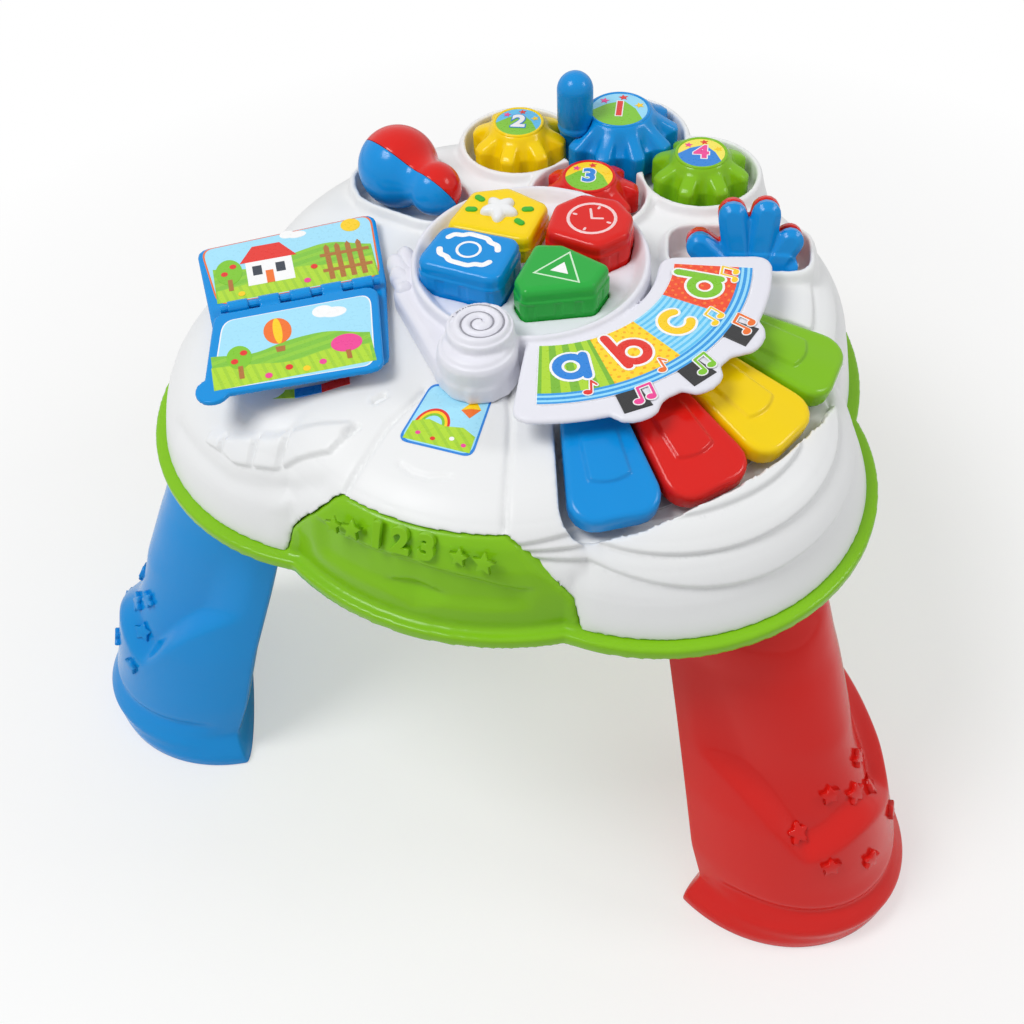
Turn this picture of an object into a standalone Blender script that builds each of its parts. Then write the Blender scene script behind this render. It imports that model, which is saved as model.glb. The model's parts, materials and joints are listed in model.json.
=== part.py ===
"""Baby activity table: three-lobed play top on three legs, with keys, shape buttons, turning gears, a page book and
two lift-out rattles. Metres, +Z up, floor at z = 0, centre of the resting box at x = y = 0."""

from math import acos, atan2, cos, degrees, hypot, pi, radians, sin, sqrt, tan

import bmesh
import bpy
import numpy as np
from mathutils import Matrix, Vector

# Driving dimensions

RIM_TOP = 0.260
DECK_RISE = 0.070
LOBE_RADIUS = 0.130
LOBE_CENTRE = 0.105
RECESS_RADIUS = 0.163
RECESS_CENTRE = 0.040
DISH_RADIUS = 0.0685
GEAR_MODULE = 0.0036
KEY_LENGTH = 0.0582
FOOT_CENTRE = 0.2346
FOOT_DEPTH = 0.0904
FOOT_HALF_WIDTH = 0.0821
WALL = 0.0026
GAP = 0.0003
SLIDE_GAP = 0.0006
OVERRUN = 0.004

LOBE_ANGLES = (-150, -30, 90)
RECESS_ANGLES = (-90, 30, 150)
DECK = RIM_TOP + DECK_RISE

FINE_STEPS = 36
WELL_STEPS = 28
ROUND_STEPS = 20
ROD_STEPS = 12
HOLE_STEPS = 8
CORNER_STEPS = 4
OUTLINE_STEPS = 66

# Colours

WHITE = (0.86, 0.87, 0.87)
PEARL = (0.82, 0.82, 0.88)
GREEN = (0.30, 0.60, 0.02)
LEAF = (0.02, 0.42, 0.05)
BLUE = (0.0, 0.26, 0.72)
RED = (0.72, 0.010, 0.008)
YELLOW = (0.93, 0.62, 0.0)
DARK = (0.03, 0.03, 0.035)
STEEL = (0.62, 0.62, 0.64)
BOARD = (0.02, 0.25, 0.10)
RUBBER = (0.55, 0.55, 0.58)
GLOSSY_ROUGHNESS = 0.28
SATIN_ROUGHNESS = 0.45


def clear_scene():
    for item in list(bpy.data.objects):
        bpy.data.objects.remove(item)


def material(name, colour, roughness, metallic=0.0):
    made = bpy.data.materials.new(name)
    made.use_nodes = True
    shader = made.node_tree.nodes["Principled BSDF"]
    shader.inputs["Base Color"].default_value = (*colour, 1.0)
    shader.inputs["Roughness"].default_value = roughness
    shader.inputs["Metallic"].default_value = metallic
    made.diffuse_color = (*colour, 1.0)
    return made


# Outlines: lists of (x, y), counter-clockwise


def polar(radius, angle, centre=(0, 0)):
    return (centre[0] + radius * cos(radians(angle)), centre[1] + radius * sin(radians(angle)))


def arc(centre, radius, start, end, steps):
    return [polar(radius, angle, centre) for angle in np.linspace(start, end, steps)]


def circle(radius, steps, centre=(0, 0)):
    return arc(centre, radius, 0, 360, steps + 1)[:-1]


def ray_to_circle(angle, centre_angle, distance, radius):
    """Distance from the table axis to the far side of a circle, or nothing when the ray misses it."""
    turn = radians(angle - centre_angle)
    across = distance * sin(turn)
    if abs(across) >= radius or cos(turn) < 0 and distance > radius:
        return 0
    return distance * cos(turn) + sqrt(radius * radius - across * across)


def table_outline(lobe_inset, recess_inset):
    """The three-lobed outline: three lobe arcs and three recess arcs that meet in notches."""
    points = []
    for angle in np.linspace(0, 360, OUTLINE_STEPS + 1)[:-1]:
        reaches = [ray_to_circle(angle, lobe, LOBE_CENTRE, LOBE_RADIUS - lobe_inset) for lobe in LOBE_ANGLES]
        for recess in RECESS_ANGLES:
            reaches.append(ray_to_circle(angle, recess, RECESS_CENTRE, RECESS_RADIUS - recess_inset))
        points.append(polar(max(reaches), angle))
    return points


def sector(inner, outer, start, end, corners, steps=10, swell=None):
    """A ring sector about the origin, with the corner radii of its outer and inner side; a swell moves the outer."""
    points = []
    for radius, corner, way in ((outer, corners[0], 1), (inner, corners[1], -1)):
        first, last = (start, end) if way > 0 else (end, start)
        corner_radius = radius - way * corner
        pull = way * degrees(corner / corner_radius)
        facing = first - way * 90
        points += arc(polar(corner_radius, first + pull), corner, facing, facing + 90, CORNER_STEPS)
        for angle in np.linspace(first + pull, last - pull, steps)[1:-1]:
            points.append(polar(radius + (swell(angle) if swell and way > 0 else 0), angle))
        facing = last + 90 - way * 90
        points += arc(polar(corner_radius, last - pull), corner, facing, facing + 90, CORNER_STEPS)
    return points


def rounded_polygon(corners, radii, steps=CORNER_STEPS):
    """A convex outline with its corners rounded, all to one radius or each to its own."""
    points = []
    count = len(corners)
    for index, corner in enumerate(corners):
        radius = radii[index] if isinstance(radii, tuple) else radii
        here = Vector(corner)
        before = (Vector(corners[index - 1]) - here).normalized()
        after = (Vector(corners[(index + 1) % count]) - here).normalized()
        half = acos(before.dot(after)) / 2
        centre = here + (before + after).normalized() * (radius / sin(half))
        start = here + before * (radius / tan(half)) - centre
        end = here + after * (radius / tan(half)) - centre
        first = atan2(start.y, start.x)
        sweep = (atan2(end.y, end.x) - first) % (2 * pi)
        points += arc(centre, radius, degrees(first), degrees(first + sweep), steps)
    return points


def rectangle(width, depth, radius, steps=CORNER_STEPS):
    x, y = width / 2, depth / 2
    return rounded_polygon([(-x, -y), (x, -y), (x, y), (-x, y)], radius, steps)


def capsule(start, end, start_radius, end_radius, steps=8):
    """Two circles of any radius with straight tangents between them."""
    start, end = Vector(start), Vector(end)
    line = end - start
    heading = degrees(atan2(line.y, line.x))
    lean = degrees(acos((start_radius - end_radius) / line.length))
    points = arc(end, end_radius, heading - lean, heading + lean, steps)
    return points + arc(start, start_radius, heading + lean, heading + 360 - lean, steps)


def scaled(outline, share):
    return [(x * share, y * share) for x, y in outline]


def moved(outline, offset, turn=0):
    c, s = cos(radians(turn)), sin(radians(turn))
    return [(offset[0] + x * c - y * s, offset[1] + x * s + y * c) for x, y in outline]


def grown(outline, amount):
    """The outline pushed out along its own normals."""
    count = len(outline)
    points = []
    for index, (x, y) in enumerate(outline):
        before, after = outline[index - 1], outline[(index + 1) % count]
        dx, dy = after[0] - before[0], after[1] - before[1]
        length = hypot(dx, dy)
        points.append((x + amount * dy / length, y - amount * dx / length))
    return points


def middle(outline):
    count = len(outline)
    return (sum(x for x, _ in outline) / count, sum(y for _, y in outline) / count)


# Solids

EDGE_STEP_SHARE = 0.3


def loft(levels):
    """A closed solid through outlines of equal length, given as (outline, z) from bottom to top."""
    made = bmesh.new()
    rings = [[made.verts.new((x, y, z)) for x, y in outline] for outline, z in levels]
    for low, high in zip(rings, rings[1:]):
        count = len(low)
        for index in range(count):
            after = (index + 1) % count
            made.faces.new((low[index], low[after], high[after], high[index]))
    made.faces.new(list(reversed(rings[0])))
    made.faces.new(rings[-1])
    bmesh.ops.recalc_face_normals(made, faces=made.faces)
    return made


def prism(outline, low, high):
    return loft([(outline, low), (outline, high)])


def padded(outline, low, high, edge, flare=0):
    """A prism whose top edge is rounded off in two steps; a flare widens its foot."""
    step = edge * EDGE_STEP_SHARE
    levels = [(grown(outline, flare), low), (outline, high - edge)]
    return loft(levels + [(grown(outline, -step), high - step), (grown(outline, -edge), high)])


def turned(profile, steps=ROUND_STEPS):
    """A solid of revolution about z from a profile of (radius, z), bottom to top, with flat ends."""
    return loft([(circle(radius, steps), z) for radius, z in profile])


def rod(radius, low, high, steps=ROD_STEPS):
    return turned([(radius, low), (radius, high)], steps)


def ball(radii, steps=16, rows=5):
    """An ellipsoid about the origin with small flat poles."""
    angles = np.linspace(-pi / 2, pi / 2, rows + 2)[1:-1]
    shape = turned([(cos(angle), sin(angle)) for angle in angles], steps)
    bmesh.ops.scale(shape, verts=shape.verts, vec=Vector(radii))
    return shape


def translate(shape, offset):
    bmesh.ops.translate(shape, verts=shape.verts, vec=Vector(offset))
    return shape


def rotate(shape, angle, axis):
    bmesh.ops.transform(shape, matrix=Matrix.Rotation(radians(angle), 4, axis), verts=shape.verts)
    return shape


def in_scene(name, mesh_data):
    mesh = bpy.data.meshes.new(name)
    mesh_data.to_mesh(mesh)
    mesh_data.free()
    item = bpy.data.objects.new(name, mesh)
    bpy.context.scene.collection.objects.link(item)
    return item


def combine(target, tool, operation):
    """Boolean of two objects, applied; the tool object is taken away."""
    step = target.modifiers.new(operation.lower(), "BOOLEAN")
    step.operation = operation
    step.solver = "EXACT"
    step.object = tool
    graph = bpy.context.evaluated_depsgraph_get()
    result = bpy.data.meshes.new_from_object(target.evaluated_get(graph))
    target.modifiers.clear()
    target.data = result
    bpy.data.objects.remove(tool)
    return target


def add(target, shape):
    return combine(target, in_scene("tool", shape), "UNION")


def cut(target, shape):
    return combine(target, in_scene("tool", shape), "DIFFERENCE")


WELD_DISTANCE = 0.000005
SHARP_ANGLE = 35


def finish_piece(item, paint, place=(0, 0, 0), turn=(0, 0, 0)):
    """Weld, colour and smooth the piece, and put it in its place about the table axis."""
    tidy = bmesh.new()
    tidy.from_mesh(item.data)
    bmesh.ops.remove_doubles(tidy, verts=tidy.verts, dist=WELD_DISTANCE)
    bmesh.ops.dissolve_degenerate(tidy, edges=tidy.edges, dist=WELD_DISTANCE)
    tidy.to_mesh(item.data)
    tidy.free()
    item.data.materials.clear()
    item.data.materials.append(PAINT[paint])
    item.data.shade_smooth()
    item.data.set_sharp_from_angle(angle=radians(SHARP_ANGLE))
    item.location = place
    item.rotation_euler = [radians(angle) for angle in turn]
    item.parent = ROOT
    return item


def piece(name, shape, paint, place=(0, 0, 0), turn=(0, 0, 0)):
    return finish_piece(in_scene(name, shape), paint, place, turn)


# Foot outline and the place of the table axis

LEG_STEPS = 14
CHORD_CURVE_SHARE = 0.10


def leg_outline(centre, depth, half_width, inset=0):
    """A half ellipse bulging outward along +x, closed by a nearly flat face toward the table axis."""
    start, half = centre + inset, half_width - inset
    points = []
    for angle in np.linspace(-pi / 2, pi / 2, LEG_STEPS):
        points.append((start + (depth - 2 * inset) * cos(angle), half * sin(angle)))
    for angle in np.linspace(pi / 2, 3 * pi / 2, LEG_STEPS // 2)[1:-1]:
        points.append((start + CHORD_CURVE_SHARE * depth * cos(angle), half * sin(angle)))
    return points


def foot_span():
    """Front-most and rear-most y of the three feet about the table axis."""
    foot = leg_outline(FOOT_CENTRE, FOOT_DEPTH, FOOT_HALF_WIDTH)
    ends = []
    for angle in LOBE_ANGLES:
        ends += [y for _, y in moved(foot, (0, 0), angle)]
    return min(ends), max(ends)


clear_scene()
ROOT = bpy.data.objects.new("table_axis", None)
bpy.context.scene.collection.objects.link(ROOT)
ROOT.location = (0, -sum(foot_span()) / 2, 0)

PAINT = {
    "white": material("white_shell", WHITE, SATIN_ROUGHNESS),
    "pearl": material("pearl_console", PEARL, SATIN_ROUGHNESS),
    "green": material("green_plastic", GREEN, GLOSSY_ROUGHNESS),
    "leaf": material("leaf_plastic", LEAF, GLOSSY_ROUGHNESS),
    "blue": material("blue_plastic", BLUE, GLOSSY_ROUGHNESS),
    "red": material("red_plastic", RED, GLOSSY_ROUGHNESS),
    "yellow": material("yellow_plastic", YELLOW, GLOSSY_ROUGHNESS),
    "dark": material("dark_plastic", DARK, SATIN_ROUGHNESS),
    "steel": material("steel", STEEL, GLOSSY_ROUGHNESS, 1.0),
    "board": material("circuit_board", BOARD, SATIN_ROUGHNESS),
    "rubber": material("grey_rubber", RUBBER, SATIN_ROUGHNESS),
}

# Layout of the play features about the table axis

DISH_CENTRE = (0.001, 0)
DISH_FLARE = 0.0015
DISH_SLOPE = 0.0090
DISH_FLOOR_RADIUS = DISH_RADIUS - DISH_SLOPE
DISH_FLOOR = DECK + 0.0155
DISH_DEPTH = 0.0075
DISH_RIM = DISH_FLOOR + DISH_DEPTH

GEAR_WELL_DEPTH = 0.0120
GEAR_FLOOR = DECK - GEAR_WELL_DEPTH
GEAR_WELL_CLEAR = 0.0030
GEAR_TEETH = {"blue": 10, "yellow": 8, "green": 8, "red": 8}
BLUE_GEAR_PLACE = (0.0080, 0.1545)
GEAR_ANGLES = {"yellow": 201.7, "green": -21.7, "red": -90}


def gear_pitch(colour):
    return GEAR_MODULE * GEAR_TEETH[colour]


def gear_centre(colour):
    """Each small gear sits beside the blue one, with their pitch circles touching."""
    if colour == "blue":
        return BLUE_GEAR_PLACE
    return polar(gear_pitch("blue") + gear_pitch(colour), GEAR_ANGLES[colour], BLUE_GEAR_PLACE)


MARACA_SMALL_RADIUS = 0.0165
MARACA_BIG_RADIUS = 0.0255
MARACA_LENGTH = 0.0339
MARACA_TURN = -25.9
MARACA_ANGLE = 145.9
MARACA_STAND_OFF = 0.0134
MARACA_SMALL = polar(DISH_RADIUS + MARACA_STAND_OFF + MARACA_SMALL_RADIUS, MARACA_ANGLE, DISH_CENTRE)
MARACA_BIG = polar(-MARACA_LENGTH, MARACA_TURN, MARACA_SMALL)
MARACA_MARGIN = 0.0035
MARACA_WELL_DEPTH = 0.0110
MARACA_FLOOR = DECK - MARACA_WELL_DEPTH

CASTANET_PLACE = (0.1170, 0.0625)
CASTANET_TURN = 14
CASTANET_WELL_DEPTH = 0.0135
CASTANET_FLOOR = DECK - CASTANET_WELL_DEPTH
CASTANET_WELL_PLACE = (0.1085, 0.0655)
CASTANET_WELL_WIDTH = 0.082
CASTANET_WELL_SPAN = 0.040
CASTANET_WELL_CORNER = 0.012

FAN_CENTRE = (0.0070, 0.0050)
KEY_COUNT = 4
KEY_PITCH_ANGLE = 18
KEY_MIDDLE_ANGLE = -31.7
KEY_TILT_ANGLE = 14
KEY_PRESS_ANGLE = 3
KEY_HINGE_RADIUS = 0.1180
KEY_END_RADIUS = KEY_HINGE_RADIUS + KEY_LENGTH
KEY_HINGE_Z = DECK + 0.0030
KEY_BACK = 0.0035
KEY_CORNER = 0.0145
KEY_THICK = 0.0120
KEY_DROP = 0.0040
KEY_SIDE_GAP = 0.0010
KEY_WELL_MARGIN = 0.0035
KEY_WELL_DEPTH = 0.0250
KEY_WELL_FLOOR = DECK - KEY_WELL_DEPTH

PANEL_INNER = 0.0660
PANEL_OUTER = 0.1300
PANEL_START_ANGLE = -79
PANEL_END_ANGLE = 18
PANEL_TOP = DECK + 0.0200

BOOK_PLACE = (-0.1190, -0.0570)
BOOK_TURN = 213
BOOK_LENGTH = 0.0920
PAGE_WIDTH = 0.0720
BOOK_PLATFORM = DECK + 0.0040


def key_angle(index):
    return KEY_MIDDLE_ANGLE + (index - (KEY_COUNT - 1) / 2) * KEY_PITCH_ANGLE


KEY_FAN_START = key_angle(0) - KEY_PITCH_ANGLE / 2
KEY_FAN_END = key_angle(KEY_COUNT - 1) + KEY_PITCH_ANGLE / 2


def fan(inner, outer, side, corners, steps=10):
    """A sector over all keys about their own centre, a side wider than the keys at each end."""
    margin = degrees(side / KEY_END_RADIUS)
    outline = sector(inner, outer, KEY_FAN_START - margin, KEY_FAN_END + margin, corners, steps)
    return moved(outline, FAN_CENTRE)


# Top shell: a domed three-lobed cover with bowls for the gears, wells for the rattles, keys and book, and an open
# window at the front. The profile gives shares of the rise to the deck and of the two insets there

SHELL_BOTTOM = RIM_TOP + GAP
DOME_INSET = 0.0860
DOME_RECESS_INSET = 0.0650
SHELL_PROFILE_SHARES = (
    (0, 0.08, 0.11),
    (0.33, 0.15, 0.155),
    (0.56, 0.245, 0.215),
    (0.73, 0.37, 0.31),
    (0.86, 0.535, 0.46),
    (0.957, 0.767, 0.69),
    (1, 1, 1),
)
WINDOW_HALF = 0.086
WINDOW_RISE = 0.056
WINDOW_BACK_SHARE = 0.92
WINDOW_SHARES = ((0, 1), (0.30, 0.95), (0.57, 0.82), (0.80, 0.68), (0.93, 0.60), (1, 0.53))
BOWL_RISE = 0.0070
BOWL_RIM = DECK + BOWL_RISE
BOWL_ROOT_SHARE = 0.57
BOWL_ROOT = DECK - BOWL_ROOT_SHARE * DECK_RISE
BOWL_FLARE = 0.0110
BOWL_WALL = 0.0040
CASTANET_RIM = DECK + 0.0050
WELL_EDGE = 0.0025
KEY_RIDGE = 0.0020
KEY_RIDGE_TOP = KEY_HINGE_Z - (KEY_THICK - KEY_DROP) / cos(radians(KEY_TILT_ANGLE)) - GAP
KEY_WELL_BACK = 0.0080
BOOK_PLATFORM_MARGIN = 0.0150
BOOK_PLATFORM_INSET = 0.0080
BOOK_PLATFORM_CORNER = 0.012
DISH_OPENING_INSET = 0.008
SCREW_RADIUS = 0.0015
SCREW_BOSS = 0.0040
SCREW_DEPTH = 0.0160
SCREW_HEAD_RADIUS = 0.0035
SCREW_HEAD = 0.0022
FLANGE_THICK = 0.008
TRAY_FLOOR = RIM_TOP - FLANGE_THICK
REAR_SCREW_REACH = 0.1770
FRONT_SCREW_REACH = 0.0960
SCREW_SPOTS = [polar(REAR_SCREW_REACH, angle) for angle in (33, 150)]
SCREW_SPOTS += [polar(FRONT_SCREW_REACH, angle) for angle in (-30, -150)]


def shell_solid(drop):
    """The domed outer form, or with a drop the same form that much smaller all round."""
    levels = []
    for rise_share, lobe_share, recess_share in SHELL_PROFILE_SHARES:
        outline = table_outline(lobe_share * DOME_INSET + drop, recess_share * DOME_RECESS_INSET + drop)
        height = RIM_TOP + rise_share * DECK_RISE - drop
        if rise_share == 0:
            height = SHELL_BOTTOM - (OVERRUN if drop else 0)
        levels.append((outline, height))
    return loft(levels)


def window(shrink, low):
    """The front opening: narrower toward its top, cut straight through along y."""
    front = -LOBE_CENTRE - LOBE_RADIUS
    back = -WINDOW_BACK_SHARE * RECESS_RADIUS
    levels = []
    for rise_share, half_share in WINDOW_SHARES:
        half = half_share * WINDOW_HALF - shrink
        height = RIM_TOP + rise_share * WINDOW_RISE - rise_share * shrink
        levels.append(([(-half, front), (half, front), (half, back), (-half, back)], height))
    return loft([(levels[0][0], low)] + levels)


MARACA_WELL = grown(capsule(MARACA_BIG, MARACA_SMALL, MARACA_BIG_RADIUS, MARACA_SMALL_RADIUS, 10), MARACA_MARGIN)
CASTANET_WELL = rectangle(CASTANET_WELL_WIDTH, CASTANET_WELL_SPAN, CASTANET_WELL_CORNER)
CASTANET_WELL = moved(CASTANET_WELL, CASTANET_WELL_PLACE, CASTANET_TURN)
KEY_WELL_INNER = KEY_HINGE_RADIUS - KEY_WELL_BACK
KEY_WELL_OUTER = KEY_END_RADIUS + KEY_WELL_MARGIN
KEY_WELL = fan(KEY_WELL_INNER, KEY_WELL_OUTER, KEY_WELL_MARGIN, (KEY_CORNER, WALL), 14)
BOOK_PLATFORM_OUTLINE = rectangle(
    BOOK_LENGTH - 2 * BOOK_PLATFORM_INSET, PAGE_WIDTH + 2 * BOOK_PLATFORM_MARGIN, BOOK_PLATFORM_CORNER
)


def gear_well(colour, grow):
    return circle(gear_pitch(colour) + GEAR_MODULE + GEAR_WELL_CLEAR + grow, WELL_STEPS, gear_centre(colour))


SHELL_WELLS = [(gear_well(colour, 0), GEAR_FLOOR) for colour in GEAR_TEETH]
SHELL_WELLS += [(MARACA_WELL, MARACA_FLOOR), (CASTANET_WELL, CASTANET_FLOOR), (KEY_WELL, KEY_WELL_FLOOR)]


def build_shell():
    shell = in_scene("top_shell", shell_solid(0))
    for colour in GEAR_TEETH:
        add(shell, padded(gear_well(colour, BOWL_WALL), BOWL_ROOT, BOWL_RIM, WELL_EDGE, BOWL_FLARE))
    add(shell, padded(grown(MARACA_WELL, BOWL_WALL), BOWL_ROOT, BOWL_RIM, WELL_EDGE, BOWL_FLARE))
    add(shell, padded(grown(CASTANET_WELL, BOWL_WALL), BOWL_ROOT, CASTANET_RIM, WELL_EDGE, BOWL_FLARE))
    platform = moved(BOOK_PLATFORM_OUTLINE, BOOK_PLACE, BOOK_TURN)
    add(shell, padded(platform, BOWL_ROOT, BOOK_PLATFORM, WELL_EDGE, BOWL_FLARE))
    dish_foot = circle(DISH_RADIUS + DISH_FLARE + GAP, FINE_STEPS, DISH_CENTRE)
    cut(shell, prism(dish_foot, DECK, BOWL_RIM + OVERRUN))
    cavity = in_scene("cavity", shell_solid(WALL))
    for outline, floor in SHELL_WELLS:
        cut(cavity, prism(grown(outline, WALL), floor - WALL, DECK + OVERRUN))
    for spot in SCREW_SPOTS:
        cut(cavity, prism(circle(SCREW_BOSS, ROD_STEPS, spot), SHELL_BOTTOM - 2 * OVERRUN, DECK + OVERRUN))
    combine(shell, cavity, "DIFFERENCE")
    for outline, floor in SHELL_WELLS:
        cut(shell, prism(outline, floor, BOWL_RIM + OVERRUN))
    dish_opening = circle(DISH_RADIUS - DISH_OPENING_INSET, FINE_STEPS, DISH_CENTRE)
    cut(shell, prism(dish_opening, GEAR_FLOOR - WALL - OVERRUN, DECK + OVERRUN))
    half = KEY_PITCH_ANGLE / 2 - degrees(KEY_SIDE_GAP / KEY_HINGE_RADIUS)
    for index in range(KEY_COUNT):
        start, end = key_angle(index) - half, key_angle(index) + half
        ridge = sector(KEY_HINGE_RADIUS - KEY_RIDGE, KEY_HINGE_RADIUS, start, end, (GAP, GAP), 4)
        add(shell, prism(moved(ridge, FAN_CENTRE), KEY_WELL_FLOOR - WALL / 2, KEY_RIDGE_TOP))
    cut(shell, window(0, TRAY_FLOOR))
    for spot in SCREW_SPOTS:
        hole = circle(SCREW_RADIUS + GAP, HOLE_STEPS, spot)
        cut(shell, prism(hole, SHELL_BOTTOM - OVERRUN, SHELL_BOTTOM + SCREW_DEPTH))
    return finish_piece(shell, "white")


build_shell()

# Base tray: the green rim with a shallow pan, a front pad that fills the window, plugs for the legs, the battery box

TRAY_PLATE = TRAY_FLOOR + WALL
LIP_HEIGHT = 0.005
LIP_CLEAR = 0.0034
LIP_INSET = SHELL_PROFILE_SHARES[0][1] * DOME_INSET + WALL + LIP_CLEAR
PLUG_DEPTH = 0.022
PLUG_INSET = 0.010
BATTERY_RADIUS = 0.0071
BATTERY_LENGTH = 0.0500
BATTERY_SPACE = 0.0013
BATTERY_PITCH = 2 * BATTERY_RADIUS + BATTERY_SPACE
BATTERY_COUNT = 3
BOX_END_SPACE = 0.002
BOX_WIDTH = BATTERY_COUNT * BATTERY_PITCH + BOX_END_SPACE
BOX_LENGTH = BATTERY_LENGTH + 2 * BOX_END_SPACE
DOOR_THICK = 0.0022
DOOR_LEDGE = 0.0070
DOOR_TOP = TRAY_FLOOR + DOOR_THICK
BOX_TOP = DOOR_TOP + 2 * BATTERY_RADIUS + BOX_END_SPACE
BOX_PLACE = (0, 0.020)
DOOR_SCREW = 0.0012
DOOR_SCREW_HEAD = 0.0026
DOOR_SCREW_LENGTH = 0.0055
DOOR_SCREW_SPOT = (0, BOX_LENGTH / 2 + DOOR_LEDGE / 2)
BOARD_RISE = 0.0420
BOARD_BOTTOM = RIM_TOP + BOARD_RISE
BOARD_THICK = 0.0016
BOARD_HALF = 0.052
BOARD_CORNER = 0.006
POST_INSET = 0.008
POST_RADIUS = 0.0035
SPEAKER_PLACE = (0, -0.065)
SPEAKER_RADIUS = 0.0250
GRILLE_SLOT = 0.0028
GRILLE_PITCH = 0.0065
GRILLE_SLOTS = 5
SWITCH_PLACE = (0.062, 0.010)
SWITCH_TRAVEL = 0.0050
SWITCH_LENGTH = 0.0080
SWITCH_WIDTH = 0.0050
PAD_WALL = 0.0080
PAD_SCOOP = (0.064, 0.052, 0.026)
PAD_SCOOP_SET = 0.0370
PAD_SCOOP_RISE = 0.0200

# Leg levels: shares of the leg's height, of its place, of its depth and of its half width at the floor

LEG_HEIGHT = TRAY_FLOOR - GAP
LEG_SHARES = (
    (0, 1, 1, 1),
    (0.044, 1, 1, 1),
    (0.072, 1.014, 0.957, 0.853),
    (0.20, 0.964, 0.967, 0.853),
    (0.40, 0.897, 0.985, 0.786),
    (0.60, 0.812, 0.951, 0.682),
    (0.80, 0.733, 0.807, 0.600),
    (0.90, 0.696, 0.760, 0.600),
    (0.915, 0.692, 0.725, 0.560),
    (1, 0.655, 0.690, 0.560),
)


def leg_section(level, inset=0):
    _, place, depth, half = level
    return leg_outline(place * FOOT_CENTRE, depth * FOOT_DEPTH, half * FOOT_HALF_WIDTH, inset)


def front_pad():
    """The part of the domed form that shows through the window, hollowed behind and scooped in front."""
    pad = in_scene("pad", shell_solid(0))
    combine(pad, in_scene("hollow", shell_solid(PAD_WALL)), "DIFFERENCE")
    combine(pad, in_scene("frame", window(GAP, TRAY_PLATE)), "INTERSECT")
    scoop_place = (0, -RECESS_CENTRE - RECESS_RADIUS - PAD_SCOOP_SET, RIM_TOP + PAD_SCOOP_RISE)
    return cut(pad, translate(ball(PAD_SCOOP), scoop_place))


def build_tray():
    tray = in_scene("base_tray", prism(table_outline(0, 0), TRAY_FLOOR, RIM_TOP))
    add(tray, prism(table_outline(LIP_INSET, LIP_INSET), RIM_TOP - OVERRUN, RIM_TOP + LIP_HEIGHT))
    pan = table_outline(LIP_INSET + WALL, LIP_INSET + WALL)
    cut(tray, prism(pan, TRAY_PLATE, RIM_TOP + LIP_HEIGHT + OVERRUN))
    combine(tray, front_pad(), "UNION")
    for angle in LOBE_ANGLES:
        plug = prism(leg_section(LEG_SHARES[-1], PLUG_INSET + GAP), TRAY_FLOOR - PLUG_DEPTH, TRAY_FLOOR + WALL / 2)
        add(tray, rotate(plug, angle, "Z"))
        core = leg_section(LEG_SHARES[-1], PLUG_INSET + WALL)
        cut(tray, rotate(prism(core, TRAY_FLOOR - PLUG_DEPTH - OVERRUN, TRAY_FLOOR), angle, "Z"))
    box = moved(rectangle(BOX_WIDTH, BOX_LENGTH, WALL), BOX_PLACE)
    add(tray, prism(grown(box, WALL), TRAY_PLATE - WALL / 2, BOX_TOP + WALL))
    door = moved(rectangle(BOX_WIDTH + 2 * DOOR_LEDGE, BOX_LENGTH + 2 * DOOR_LEDGE, WALL), BOX_PLACE)
    add(tray, prism(grown(door, WALL), TRAY_FLOOR, DOOR_TOP + 2 * WALL))
    cut(tray, prism(door, TRAY_FLOOR - OVERRUN, DOOR_TOP + GAP))
    cut(tray, prism(box, TRAY_FLOOR, BOX_TOP))
    screw_hole = circle(DOOR_SCREW + GAP, HOLE_STEPS, DOOR_SCREW_SPOT)
    screw_hole = prism(moved(screw_hole, BOX_PLACE), TRAY_FLOOR - OVERRUN, TRAY_FLOOR + DOOR_SCREW_LENGTH + GAP)
    cut(tray, screw_hole)
    post = BOARD_HALF - POST_INSET
    for spot in ((-post, -post), (post, -post), (post, post), (-post, post)):
        add(tray, prism(circle(POST_RADIUS, ROD_STEPS, spot), TRAY_PLATE - WALL / 2, BOARD_BOTTOM - GAP))
    slot = rectangle(SPEAKER_RADIUS, GRILLE_SLOT, GRILLE_SLOT * SLOT_CORNER_SHARE, 3)
    for index in range(GRILLE_SLOTS):
        y = SPEAKER_PLACE[1] + (index - (GRILLE_SLOTS - 1) / 2) * GRILLE_PITCH
        cut(tray, prism(moved(slot, (SPEAKER_PLACE[0], y)), TRAY_FLOOR - OVERRUN, TRAY_PLATE + OVERRUN / 2))
    switch_slot = rectangle(SWITCH_LENGTH + SWITCH_TRAVEL + 2 * GAP, SWITCH_WIDTH + 2 * GAP, GAP, 2)
    cut(tray, prism(moved(switch_slot, SWITCH_PLACE), TRAY_FLOOR - OVERRUN, TRAY_PLATE + OVERRUN))
    for spot in SCREW_SPOTS:
        add(tray, prism(circle(SCREW_BOSS + WALL / 2, ROD_STEPS, spot), TRAY_PLATE - WALL / 2, RIM_TOP))
        cut(tray, prism(circle(SCREW_RADIUS + GAP, HOLE_STEPS, spot), TRAY_FLOOR - OVERRUN, RIM_TOP + OVERRUN))
        head_seat = circle(SCREW_HEAD_RADIUS + GAP, ROD_STEPS, spot)
        cut(tray, prism(head_seat, TRAY_FLOOR - OVERRUN, TRAY_FLOOR + SCREW_HEAD))
    return finish_piece(tray, "green")


SLOT_CORNER_SHARE = 0.45
build_tray()

# Legs: petal-shaped feet with a lip at the floor, a slimmer collar under the tray and an oval scoop in the outer face

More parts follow.
